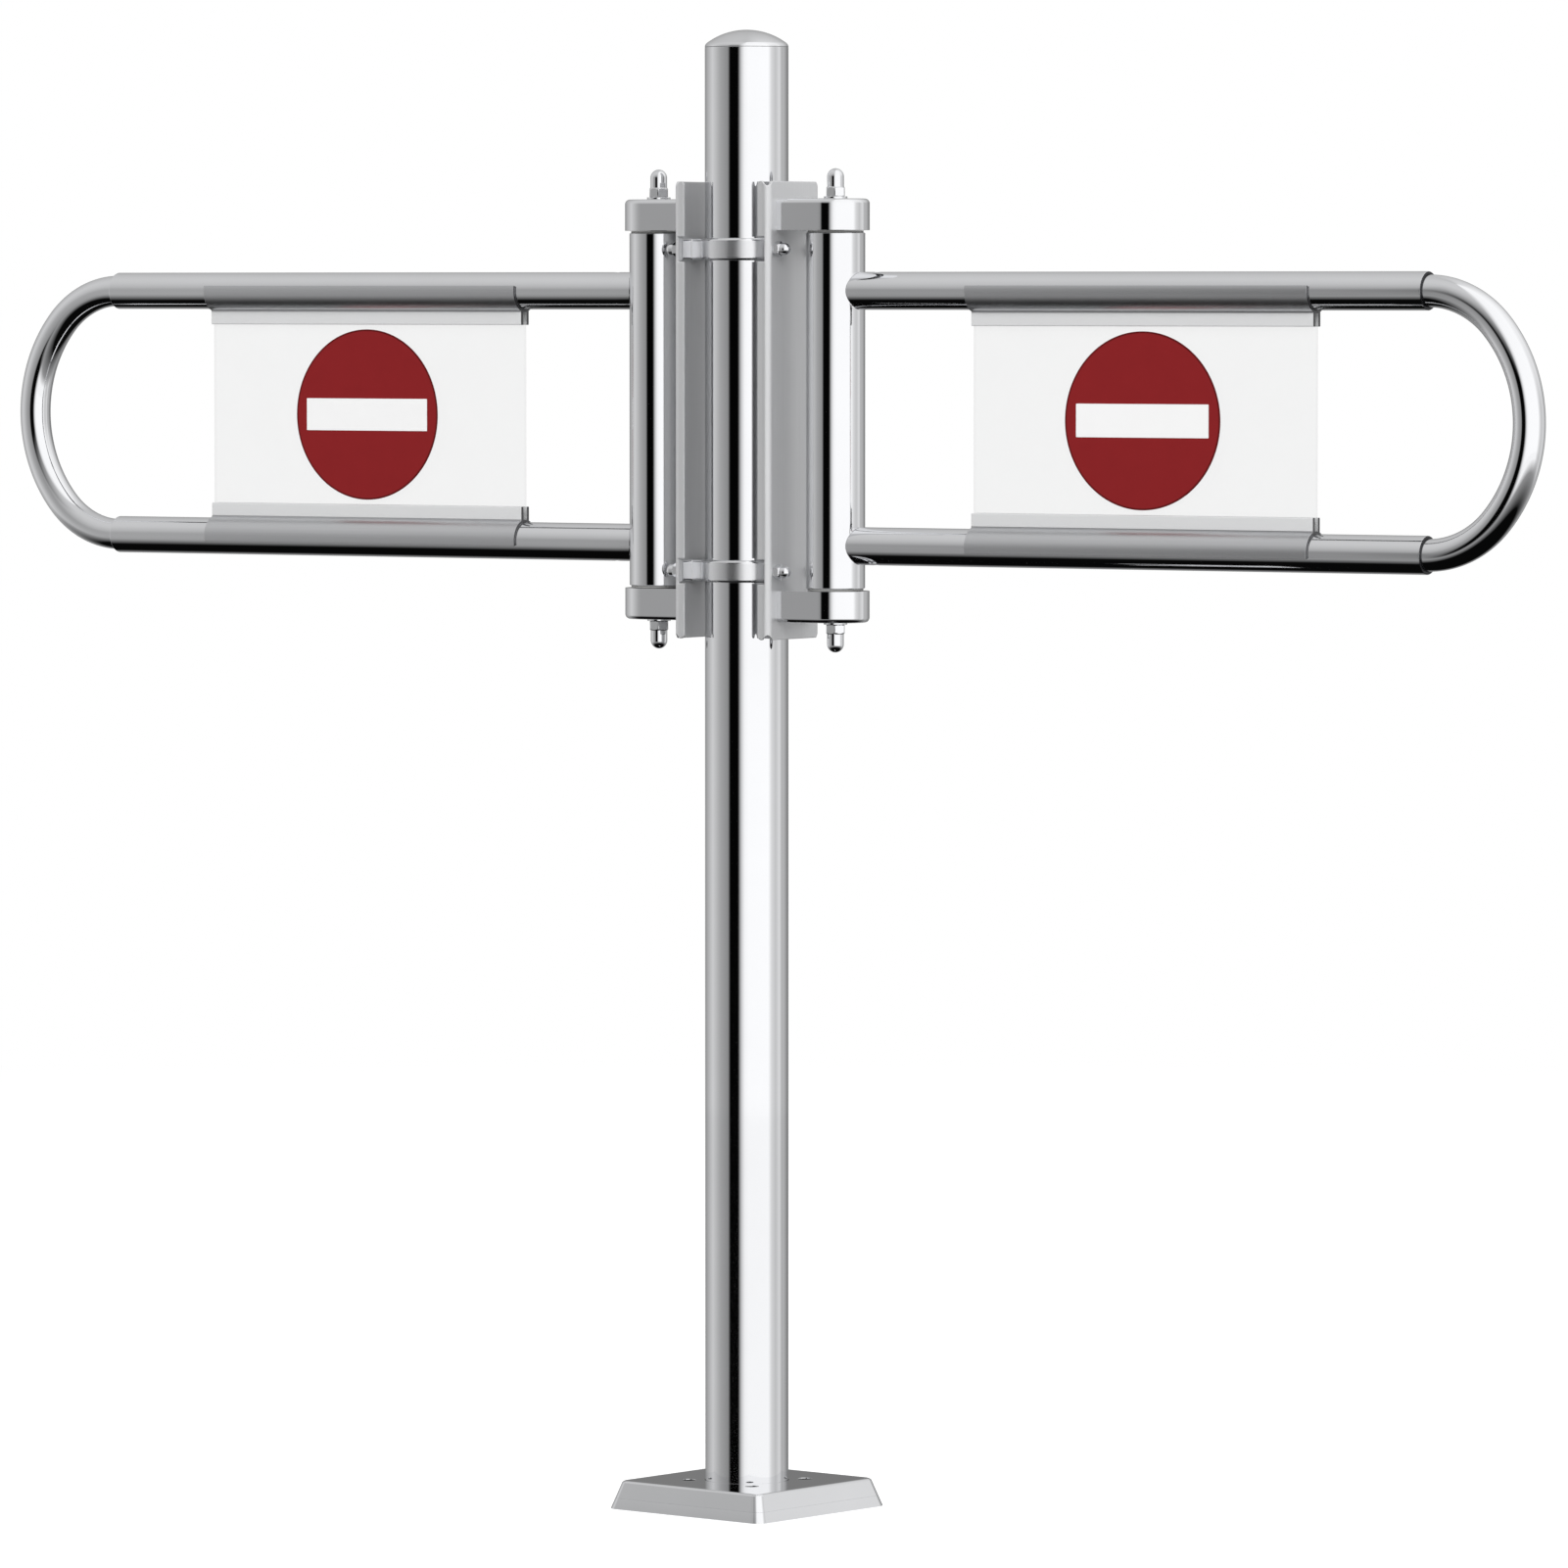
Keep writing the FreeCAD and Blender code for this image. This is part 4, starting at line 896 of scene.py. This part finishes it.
class GATE_OT_axle_ends(GateOperator, bpy.types.Operator):
    """Make the washers and the tall cap nuts at the ends of the axles"""

    bl_idname = "gate.axle_ends"
    bl_label = "Axle Ends"

    def make(self, sizes):
        washer_low, washer_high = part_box("right_axle_washers")
        nut_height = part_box("right_axle_nuts")[1].z - washer_high.z
        arm_top, arm_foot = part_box("right_upper_arm")[1].z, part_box("right_lower_arm")[0].z
        bore, radius, lip, steps = sizes.axle_hole / 2, washer_high.y, 0.35 * MM, 96
        for side, turn in SIDES.items():
            axis = turn @ upright_axis("right_axle_washers")
            washers, nuts = [], []
            for low, high in ((arm_top, washer_high.z), (washer_low.z, arm_foot)):
                outline = rounded([(bore, low), (radius, low, lip), (radius, high, lip), (bore, high, lip)])
                washers.append(moved(turned(outline, steps), axis))
            for seat, way in ((washer_high.z, 0), (washer_low.z, math.pi)):
                nut = cap_nut(sizes.axle_nut, sizes.axle_nut_hex, sizes.axle_nut_dome, nut_height)
                placed = Matrix.Translation((0, 0, seat)) @ Matrix.Rotation(way, 4, "X")
                nuts.append(moved(nut, axis @ placed))
            add_piece(joined(washers), f"{side}_axle_washers")
            add_piece(joined(nuts), f"{side}_axle_nuts", crisp=HEX_CRISP)


class GATE_OT_hinge_tubes(GateOperator, bpy.types.Operator):
    """Make the tubes that turn round the axles"""

    bl_idname = "gate.hinge_tubes"
    bl_label = "Hinge Tubes"

    def make(self, sizes):
        low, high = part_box("right_hinge_tube")
        radius, bore, lip = high.y, high.y - sizes.hinge_wall, sizes.edge
        outline = rounded([(bore, low.z, lip / 2), (radius, low.z, lip), (radius, high.z, lip),
                           (bore, high.z, lip / 2)])
        for side, turn in SIDES.items():
            tube = moved(turned(outline, sizes.around), turn @ upright_axis("right_hinge_tube"))
            add_piece(tube, f"{side}_hinge_tube", f"{side}_wing")


class GATE_OT_springs(GateOperator, bpy.types.Operator):
    """Make the closing springs; here they stay still as the wings open, though on the gate they wind up"""

    bl_idname = "gate.springs"
    bl_label = "Springs"

    def coil(self, sizes, radius, foot, hand):
        """Wire wound about Z with a straight end at each side, left-handed where the hand is -1."""
        around, steps = 20, 60 * sizes.spring_turns
        wire, tang, chamfer = sizes.spring_wire / 2, sizes.spring_tang, sizes.edge
        slope = sizes.spring_pitch / (FULL_TURN * radius)
        stations = [(0, -tang, wire - chamfer), (0, chamfer - tang, wire)]
        stations += [(step, 0, wire) for step in range(steps + 1)]
        stations += [(steps, tang - chamfer, wire), (steps, tang, wire - chamfer)]
        rings = []
        for step, past, reach in stations:
            turn = FULL_TURN * sizes.spring_turns * step / steps
            out = Vector((math.cos(turn), hand * math.sin(turn), 0))
            ahead = Vector((-math.sin(turn), hand * math.cos(turn), slope)).normalized()
            across = ahead.cross(out)
            height = foot + sizes.spring_pitch * turn / FULL_TURN
            middle = radius * out + Vector((0, 0, height)) + past * ahead
            rings.append([middle + reach * (out * math.cos(spoke) + across * math.sin(spoke))
                          for spoke in angles(around)])
        return lofted(rings)

    def make(self, sizes):
        low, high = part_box("right_closing_spring")
        axis, pitch = upright_axis("right_closing_spring"), sizes.spring_pitch
        radius = (high.x - low.x - sizes.spring_wire) / 2
        rise = pitch * sizes.spring_turns
        foot = (low.z + high.z - rise) / 2
        for (side, turn), hand in zip(SIDES.items(), (1, -1)):
            coil = moved(self.coil(sizes, radius, foot, hand), turn @ axis)
            spring = add_piece(coil, f"{side}_closing_spring", None, "oiled_spring_wire")
            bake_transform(spring)


class GATE_OT_rails(GateOperator, bpy.types.Operator):
    """Make the rails with their saddle ends, and the holes and sockets of the set screws"""

    bl_idname = "gate.rails"
    bl_label = "Rails"

    def rail(self, sizes, high, hinge, reach, screw):
        """Tube along X about its own axis, coped to the hinge tube, with a screw hole at the top."""
        radius, wall, lip, end = high.y, sizes.tube_wall, sizes.edge, sizes.rail_end
        steps, window, sleeve = 128, 8, 30 * MM

        def on_tube(turn, x, depth=0.0):
            return Vector((x, (radius - depth) * math.sin(turn), (radius - depth) * math.cos(turn)))

        def saddle(turn, depth=0.0):
            side = (radius - depth) * math.sin(turn)
            return hinge + math.sqrt(reach ** 2 - side ** 2)

        turns = angles(steps)
        half = radius * FULL_TURN * window / steps
        rings = [[on_tube(turn, saddle(turn) + wall, wall) for turn in turns],
                 [on_tube(turn, saddle(turn, lip) + EASE * lip, lip) for turn in turns],
                 [on_tube(turn, saddle(turn) + EASE * lip, EASE * lip) for turn in turns],
                 [on_tube(turn, saddle(turn) + lip) for turn in turns]]
        grid_start, grid_count = len(rings), 2 * window + 1
        straight = [(screw - half + half * step / window, 0) for step in range(grid_count)]
        straight += [(high.x - end, 0), (high.x - EASE * end, EASE * end), (high.x, end), (high.x, wall),
                     (high.x - sleeve, wall)]
        rings += [[on_tube(turn, x, depth) for turn in turns] for x, depth in straight]
        bm = bmesh.new()
        grid = skin(bm, rings)[grid_start:grid_start + grid_count]

        inside = [ring[step] for ring in grid[1:-1] for step in range(1 - window, window)]
        border = [ring[-window] for ring in grid]
        border += [grid[-1][step] for step in range(1 - window, window)]
        border += [ring[window] for ring in reversed(grid)]
        border += [grid[0][step] for step in range(window - 1, -window, -1)]
        places = [Vector((vert.co.x - screw, radius * math.atan2(vert.co.y, vert.co.z))) for vert in border]
        bmesh.ops.delete(bm, geom=inside, context="VERTS")
        hole, rim, rim_middle = 2.55 * MM, 0.35 * MM, 0.1 * MM
        circles = [([(place.length + hole) / 2 for place in places], 0)]
        circles += [([across] * len(places), depth) for across, depth in (
            (hole + rim, 0), (hole + rim_middle, rim_middle), (hole, rim), (hole, wall))]
        outer = border
        for reaches, depth in circles:
            spots = [place.normalized() * across for place, across in zip(places, reaches)]
            inner = [bm.verts.new(on_tube(spot.y / radius, screw + spot.x, depth)) for spot in spots]
            band(bm, outer, inner)
            outer = inner
        return bm

    def screw(self, sizes, radius, crown):
        """Set screw about Z with a hexagon socket in its chamfered top."""
        steps, long, chamfer, depth = 48, 7 * MM, 0.4 * MM, 1.6 * MM
        shank = ((radius, crown - long), (radius, crown - chamfer), (radius - chamfer, crown))
        return lofted([circle(reach, level, steps) for reach, level in shank]
                      + [hexagon(sizes.socket / 2, level, steps) for level in (crown, crown - depth)])

    def make(self, sizes):
        hinge, place = centre_of("right_hinge_tube")[0], centre_of("right_rail_set_screws")[0]
        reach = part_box("right_hinge_tube")[1].y + sizes.saddle_gap
        screws_low, screws_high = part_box("right_rail_set_screws")
        for side, turn in SIDES.items():
            screws, wing = [], f"{side}_wing"
            for level in LEVELS:
                axis, height = turn @ rail_axis(level, "upper"), centre_of(f"right_{level}_rail")[2]
                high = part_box(f"right_{level}_rail")[1]
                rail = self.rail(sizes, high, hinge, reach, place)
                piece = add_piece(moved(rail, axis), f"{side}_{level}_rail", wing)
                # The rail's end faces at the bow get the black finish: partly a blackened end, partly painted
                # shade of the joint with the bow.
                refinish(piece, "blackened_steel_and_joint_shade", lambda face: abs(face.center.x) > high.x - sizes.seam)
                crown = screws_high.z - height if level == "upper" else height - screws_low.z
                screw = self.screw(sizes, (screws_high.x - screws_low.x) / 2, crown)
                screws.append(moved(screw, axis @ Matrix.Translation((place, 0, 0))))
            add_piece(joined(screws), f"{side}_rail_set_screws", wing, "blackened_steel_and_joint_shade",
                      name=f"{side}_set_screws_finish", crisp=HEX_CRISP)


class GATE_OT_bows(GateOperator, bpy.types.Operator):
    """Make the bent tubes that close the wings"""

    bl_idname = "gate.bows"
    bl_label = "Bows"

    def make(self, sizes):
        low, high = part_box("right_end_bow")
        top, foot = (centre_of(f"right_{level}_rail")[2] for level in LEVELS)
        middle, half = (top + foot) / 2, (top - foot) / 2
        radius, seam = high.y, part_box("right_upper_rail")[1].x
        depth = high.x - radius - seam
        corner = depth - sizes.bow_crown
        flat = half - corner
        broad = (depth ** 2 + flat ** 2 - corner ** 2) / (2 * sizes.bow_crown)
        swing = math.asin(flat / (broad - corner))
        steps, around, lead = 40, 96, 1 * MM
        path = [(low.x, half), (seam - lead, half)]
        for step in range(steps + 1):
            turn = QUARTER - (QUARTER - swing) * step / steps
            path.append((seam + corner * math.cos(turn), flat + corner * math.sin(turn)))
        for step in range(1, steps + 1):
            turn = swing * (1 - step / steps)
            path.append((seam + depth - broad + broad * math.cos(turn), broad * math.sin(turn)))
        path += [(x, -z) for x, z in reversed(path[:-1])]
        rings = []
        for index, (x, z) in enumerate(path):
            before, after = path[max(index - 1, 0)], path[min(index + 1, len(path) - 1)]
            ahead = Vector((after[0] - before[0], 0, after[1] - before[1])).normalized()
            aside, spot = Vector((0, 1, 0)).cross(ahead), Vector((x, 0, middle + z))
            rings.append([spot + radius * (Vector((0, math.cos(turn), 0)) + aside * math.sin(turn))
                          for turn in angles(around)])
        for side, turn in SIDES.items():
            add_piece(moved(lofted(rings), turn), f"{side}_end_bow", f"{side}_wing")


class GATE_OT_clips(GateOperator, bpy.types.Operator):
    """Make the snap-on clips that hold the panels"""

    bl_idname = "gate.clips"
    bl_label = "Clips"

    def make(self, sizes):
        low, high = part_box("right_lower_clip")
        room, nose, slot_nose, cut_edge = 0.1 * MM, 0.8 * MM, 0.4 * MM, 0.15 * MM
        outer_steps, inner_steps = 24, 48
        outer, inner, wrap = high.y, high.y - sizes.clip_wall, -sizes.clip_wrap
        reach = high.z - centre_of("right_lower_rail")[2]
        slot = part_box("right_sign_panel")[1].y + room
        lip = slot + sizes.clip_lip
        shoulder = math.asin(math.sqrt(outer ** 2 - lip ** 2) / outer)
        right = arc(outer, wrap, shoulder, outer_steps)
        right += rounded([tuple(right[-1]), (lip, reach, nose), (slot, reach, slot_nose), (slot, outer)],
                         closed=False)[1:]
        outline = right + mirrored(right) + arc(inner, math.pi - wrap, wrap, inner_steps)
        along_x = Matrix(((0, 0, 1, 0), (1, 0, 0, 0), (0, 1, 0, 0), (0, 0, 0, 1)))
        for side, turn in SIDES.items():
            for level in LEVELS:
                clip = moved(pulled(outline, low.x, high.x), along_x)
                piece = add_piece(moved(clip, turn @ rail_axis(level, "lower")), f"{side}_{level}_clip",
                                  f"{side}_wing", "drawn_aluminium", edge=cut_edge, steps=2)
                refinish(piece, "sawn_ends", lambda face: abs(face.normal.x) > FACING)


class GATE_OT_panels(GateOperator, bpy.types.Operator):
    """Make the clear panels between the clips"""

    bl_idname = "gate.panels"
    bl_label = "Panels"

    def make(self, sizes):
        corner, cut_edge = 1.2 * MM, 0.3 * MM
        for side in SIDES:
            node = f"{side}_sign_panel"
            add_piece(plate(node, corner), node, f"{side}_wing", "clear_acrylic",
                      name=f"{side}_panel_finish", edge=cut_edge, steps=2)


class GATE_OT_signs(GateOperator, bpy.types.Operator):
    """Make the no-entry discs and their bars"""

    bl_idname = "gate.signs"
    bl_label = "Signs"

    def make(self, sizes):
        steps, bar_corner, bar_edge = 192, 0.5 * MM, 0.08 * MM
        for side in SIDES:
            disc, bar, wing = f"{side}_sign_disc", f"{side}_sign_bar", f"{side}_wing"
            low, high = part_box(disc)
            x, _, z = centre_of(disc)
            outline = arc((high.x - low.x) / 2, 0, FULL_TURN, steps)[:-1]
            film = pulled(outline, sizes.film_gap - high.y, -low.y)
            piece = add_piece(moved(film, Matrix.Translation((x, 0, z)) @ UPRIGHT), disc, wing,
                              "sign_red_film", edge=sizes.seam, steps=2)
            refinish(piece, "sign_backing", lambda face: face.normal.y > FACING)
            add_piece(plate(bar, bar_corner), bar, wing, "sign_white_film",
                      edge=bar_edge, steps=2)


class GATE_OT_inner_parts(GateOperator, bpy.types.Operator):
    """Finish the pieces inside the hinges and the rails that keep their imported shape"""

    bl_idname = "gate.inner_parts"
    bl_label = "Inner Parts"

    def make(self, sizes):
        inner = {
            "turned_steel": ["hinge_axle", "spring_collar", "spring_driver", "rail_spigots"],
            "matt_plate": ["arm_screws"],
            "moulded_plastic": ["upper_bush", "lower_bush"],
        }
        chosen = {f"{side}_{name}": finish
                  for finish, names in inner.items() for name in names for side in SIDES}
        chosen["clamp_studs"] = "turned_steel"
        for node, finish in chosen.items():
            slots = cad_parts[node].data.materials
            slots.clear()
            slots.append(bpy.data.materials[finish])
        for side in SIDES:
            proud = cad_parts[f"{side}_arm_screws"].modifiers.new("proud", "DISPLACE")
            proud.strength = sizes.screw_rise
            proud.mid_level = 0


def srgb(level):
    """Linear light of a grey level from 0 to 255."""
    part = level / 255
    return part / 12.92 if part <= 0.04045 else ((part + 0.055) / 1.055) ** 2.4


def shone(greys):
    """Stops of a ramp round the gate that chrome shows as grey levels at angles from the camera."""
    return [(0.5 + place / 360, srgb(grey) / CHROME_SHINE) for place, grey in greys]


def square(half, height):
    """Two rings of a level square."""
    return [[(-half, y, height), (half, y, height)] for y in (-half, half)]


class GATE_OT_stage(bpy.types.Operator):
    """Make the floor, the tent that the metal reflects, the lamps and the camera"""

    bl_idname = "gate.stage"
    bl_label = "Stage"
    bl_options = {"REGISTER", "UNDO"}

    def seen(self, tree):
        """One for rays from the camera, a mirror or clear plastic, nought for the rest."""
        path = tree.add("ShaderNodeLightPath")
        rays = path.out("Is Camera Ray") + path.out("Is Glossy Ray") + path.out("Is Transmission Ray")
        return rays.least(1.0)

    def world(self, studio):
        """White to the eye, and an even light on the pieces."""
        world = bpy.data.worlds.new("studio_white")
        bpy.context.scene.world = world
        tree = Tree(world)
        even, white = (tree.add("ShaderNodeBackground", None, {"Color": WHITE, "Strength": strength}).out()
                       for strength in (studio.ambient, 1.0))
        tree.result(tree.either(self.seen(tree), even, white), "ShaderNodeOutputWorld")

    def sheet(self, name, rings):
        """Stage surface from rings of points, in the finish of the same name."""
        bm = bmesh.new()
        skin(bm, rings, around=False)
        item = shown(bm, name, name)
        return item

    def only_in_metal(self, item):
        """Shows a stage surface in reflections alone."""
        for rays in ("camera", "diffuse", "transmission", "shadow", "volume_scatter"):
            setattr(item, f"visible_{rays}", False)

    def floor(self):
        """White floor that keeps a soft shadow, and is as white as the background further out."""
        reach, tone, own_light = 40.0, 0.62, 0.7
        tree = new_finish("studio_floor")
        lit = tree.add("ShaderNodeBsdfDiffuse", None, {"Color": (tone, tone, tone, 1)}).out()
        both = tree.add("ShaderNodeAddShader", None, {0: lit, 1: tree.glow(WHITE, own_light)}).out()
        apart = tree.vector("LENGTH", tree.place()).out("Value")
        far = tree.ramp(apart / reach, [(0.04, 0.0), (0.1, 1.0)])
        tree.result(tree.either(self.seen(tree), lit, tree.either(far, both, tree.glow(WHITE))))
        self.sheet("studio_floor", square(reach, 0))

    def tent(self, studio):
        """Grey and black panels round the gate that draw the stripes in the bright metal."""
        tree = new_finish("tent_panels")
        from_eye = tree.vector("SUBTRACT", tree.place(), (0, 0, studio.eye)).out()
        parts = tree.parts(tree.vector("NORMALIZE", from_eye).out())
        bearing = parts.out("Y").bearing(parts.out("X")) - (studio.azimuth - QUARTER)
        part = (bearing / FULL_TURN + 0.5).fraction()
        around = tree.ramp(part, shone([
            (-180, 112), (-150, 150), (-128, 180), (-108, 203), (-91, 183), (-77, 162), (-64, 150),
            (-53, 138), (-47, 4), (-23, 4), (-14, 205), (-6, 244), (4, 252), (62, 253), (73, 215),
            (87, 194), (103, 217), (113, 176), (124, 178), (150, 125), (180, 112)]))
        overhead = tree.ramp(part, shone([
            (-180, 190), (-90, 200), (-20, 203), (0, 248), (70, 252), (110, 240), (180, 190)]))
        raised = tree.ramp(parts.out("Z"), [(0.09, 0.0), (0.31, 0.42), (0.6, 0.78), (0.87, 1.0)])
        tree.result(tree.glow(tree.mixed(raised, around, overhead)))
        steps, radius, height, top_hole = 180, studio.tent_radius, studio.tent_height, 0.01
        turns = [FULL_TURN * step / steps for step in range(steps + 1)]
        reaches = [(radius, 0.0), (radius, height * 0.5), (radius * 0.86, height * 0.8),
                   (radius * 0.5, height), (top_hole, height * 1.05)]
        rings = [[(reach * math.cos(turn), reach * math.sin(turn), level) for turn in turns]
                 for reach, level in reaches]
        self.only_in_metal(self.sheet("tent_panels", rings))

    def mat(self, studio):
        """Mat seen only in the metal: a black glow from above that is painted shade, a grey glow at a slant
        that is a painted reflection, and a mirror at a low glance.
        """
        thick, bright, black, pale = 0.5 * MM, 0.95, 0.003, 143
        tree = new_finish("shade_and_reflection_mat")
        glance = tree.add("ShaderNodeLayerWeight", None, {"Blend": 0.5}).out("Facing")
        # Painted shade and painted reflection: the glow runs from black, seen from above, to grey at a slant.
        dark = tree.glow(tree.ramp(glance, [(0.28, black), (0.56, srgb(pale) / CHROME_SHINE)]))
        mirror = tree.add("ShaderNodeBsdfGlossy", None,
                          {"Color": (bright, bright, bright, 1), "Roughness": 0.0}).out()
        low = tree.ramp(glance, [(0.56, 0.0), (0.68, 1.0)])
        tree.result(tree.either(low, dark, mirror))
        self.only_in_metal(self.sheet("shade_and_reflection_mat", square(studio.tent_radius, thick)))

    def lamp(self, name, spot, aim, width, power):
        """Large soft lamp that the metal doesn't show."""
        data = bpy.data.lights.new(name, "AREA")
        data.shape = "DISK"
        data.size = width
        data.energy = power
        lamp = linked(name, data)
        lamp.location = spot
        lamp.rotation_euler = (Vector(aim) - Vector(spot)).to_track_quat("-Z", "Y").to_euler()
        lamp.visible_glossy = False

    def camera(self, studio):
        """Camera at the photograph's angle."""
        data = bpy.data.cameras.new("camera")
        data.sensor_width = 36
        data.lens = studio.lens
        data.clip_end = 200
        camera, turn = linked("camera", data), studio.azimuth
        back = Vector((math.sin(turn), -math.cos(turn), 0))
        right = Vector((math.cos(turn), math.sin(turn), 0))
        camera.location = back * studio.distance + right * studio.aside + Vector((0, 0, studio.eye))
        camera.rotation_euler = (QUARTER - studio.pitch, 0, turn)
        bpy.context.scene.camera = camera

    def execute(self, context):
        """Makes the stage from the scene's studio settings."""
        studio, aim, fill_share = context.scene.gate_studio, (0, 0, 0.7), 0.45
        context.scene.view_settings.view_transform = "Standard"
        self.world(studio)
        self.floor()
        self.tent(studio)
        self.mat(studio)
        self.lamp("key_lamp", (2.6, -3.2, 3.4), aim, width=2.4, power=studio.key)
        self.lamp("fill_lamp", (-3.0, -2.4, 2.6), aim, width=2.0, power=studio.key * fill_share)
        self.camera(studio)
        return {"FINISHED"}


MAKERS = (GATE_OT_base, GATE_OT_post, GATE_OT_straps, GATE_OT_clamp_nuts, GATE_OT_brackets, GATE_OT_arms,
          GATE_OT_axle_ends, GATE_OT_hinge_tubes, GATE_OT_springs, GATE_OT_rails, GATE_OT_bows, GATE_OT_clips,
          GATE_OT_panels, GATE_OT_signs, GATE_OT_inner_parts, GATE_OT_stage)
GROUPS = {"gate_sizes": GateSizes, "gate_finishes": GateFinishes, "gate_studio": GateStudio}


class GATE_PT_looks(bpy.types.Panel):
    """Sizes, finishes and makers of the gate"""

    bl_idname = "GATE_PT_looks"
    bl_label = "Swing Gate"
    bl_space_type = "VIEW_3D"
    bl_region_type = "UI"
    bl_category = "Swing Gate"

    def draw(self, context):
        for maker in MAKERS:
            self.layout.operator(maker.bl_idname)
        for name, group in GROUPS.items():
            box = self.layout.box()
            for setting in group.__annotations__:
                box.prop(getattr(context.scene, name), setting)


def register():
    """Registers the groups, the makers and the panel."""
    for item in (*GROUPS.values(), *MAKERS, GATE_PT_looks):
        bpy.utils.register_class(item)
    for name, group in GROUPS.items():
        setattr(bpy.types.Scene, name, PointerProperty(type=group))


def unregister():
    """Takes the groups, the makers and the panel away again."""
    for name in GROUPS:
        delattr(bpy.types.Scene, name)
    for item in reversed((*GROUPS.values(), *MAKERS, GATE_PT_looks)):
        bpy.utils.unregister_class(item)


def main():
    """Makes every piece and the stage."""
    register()
    bpy.ops.gate.base()
    bpy.ops.gate.post()
    bpy.ops.gate.straps()
    bpy.ops.gate.clamp_nuts()
    bpy.ops.gate.brackets()
    bpy.ops.gate.arms()
    bpy.ops.gate.axle_ends()
    bpy.ops.gate.hinge_tubes()
    bpy.ops.gate.springs()
    bpy.ops.gate.rails()
    bpy.ops.gate.bows()
    bpy.ops.gate.clips()
    bpy.ops.gate.panels()
    bpy.ops.gate.signs()
    bpy.ops.gate.inner_parts()
    bpy.ops.gate.stage()


if __name__ == "__main__":
    main()
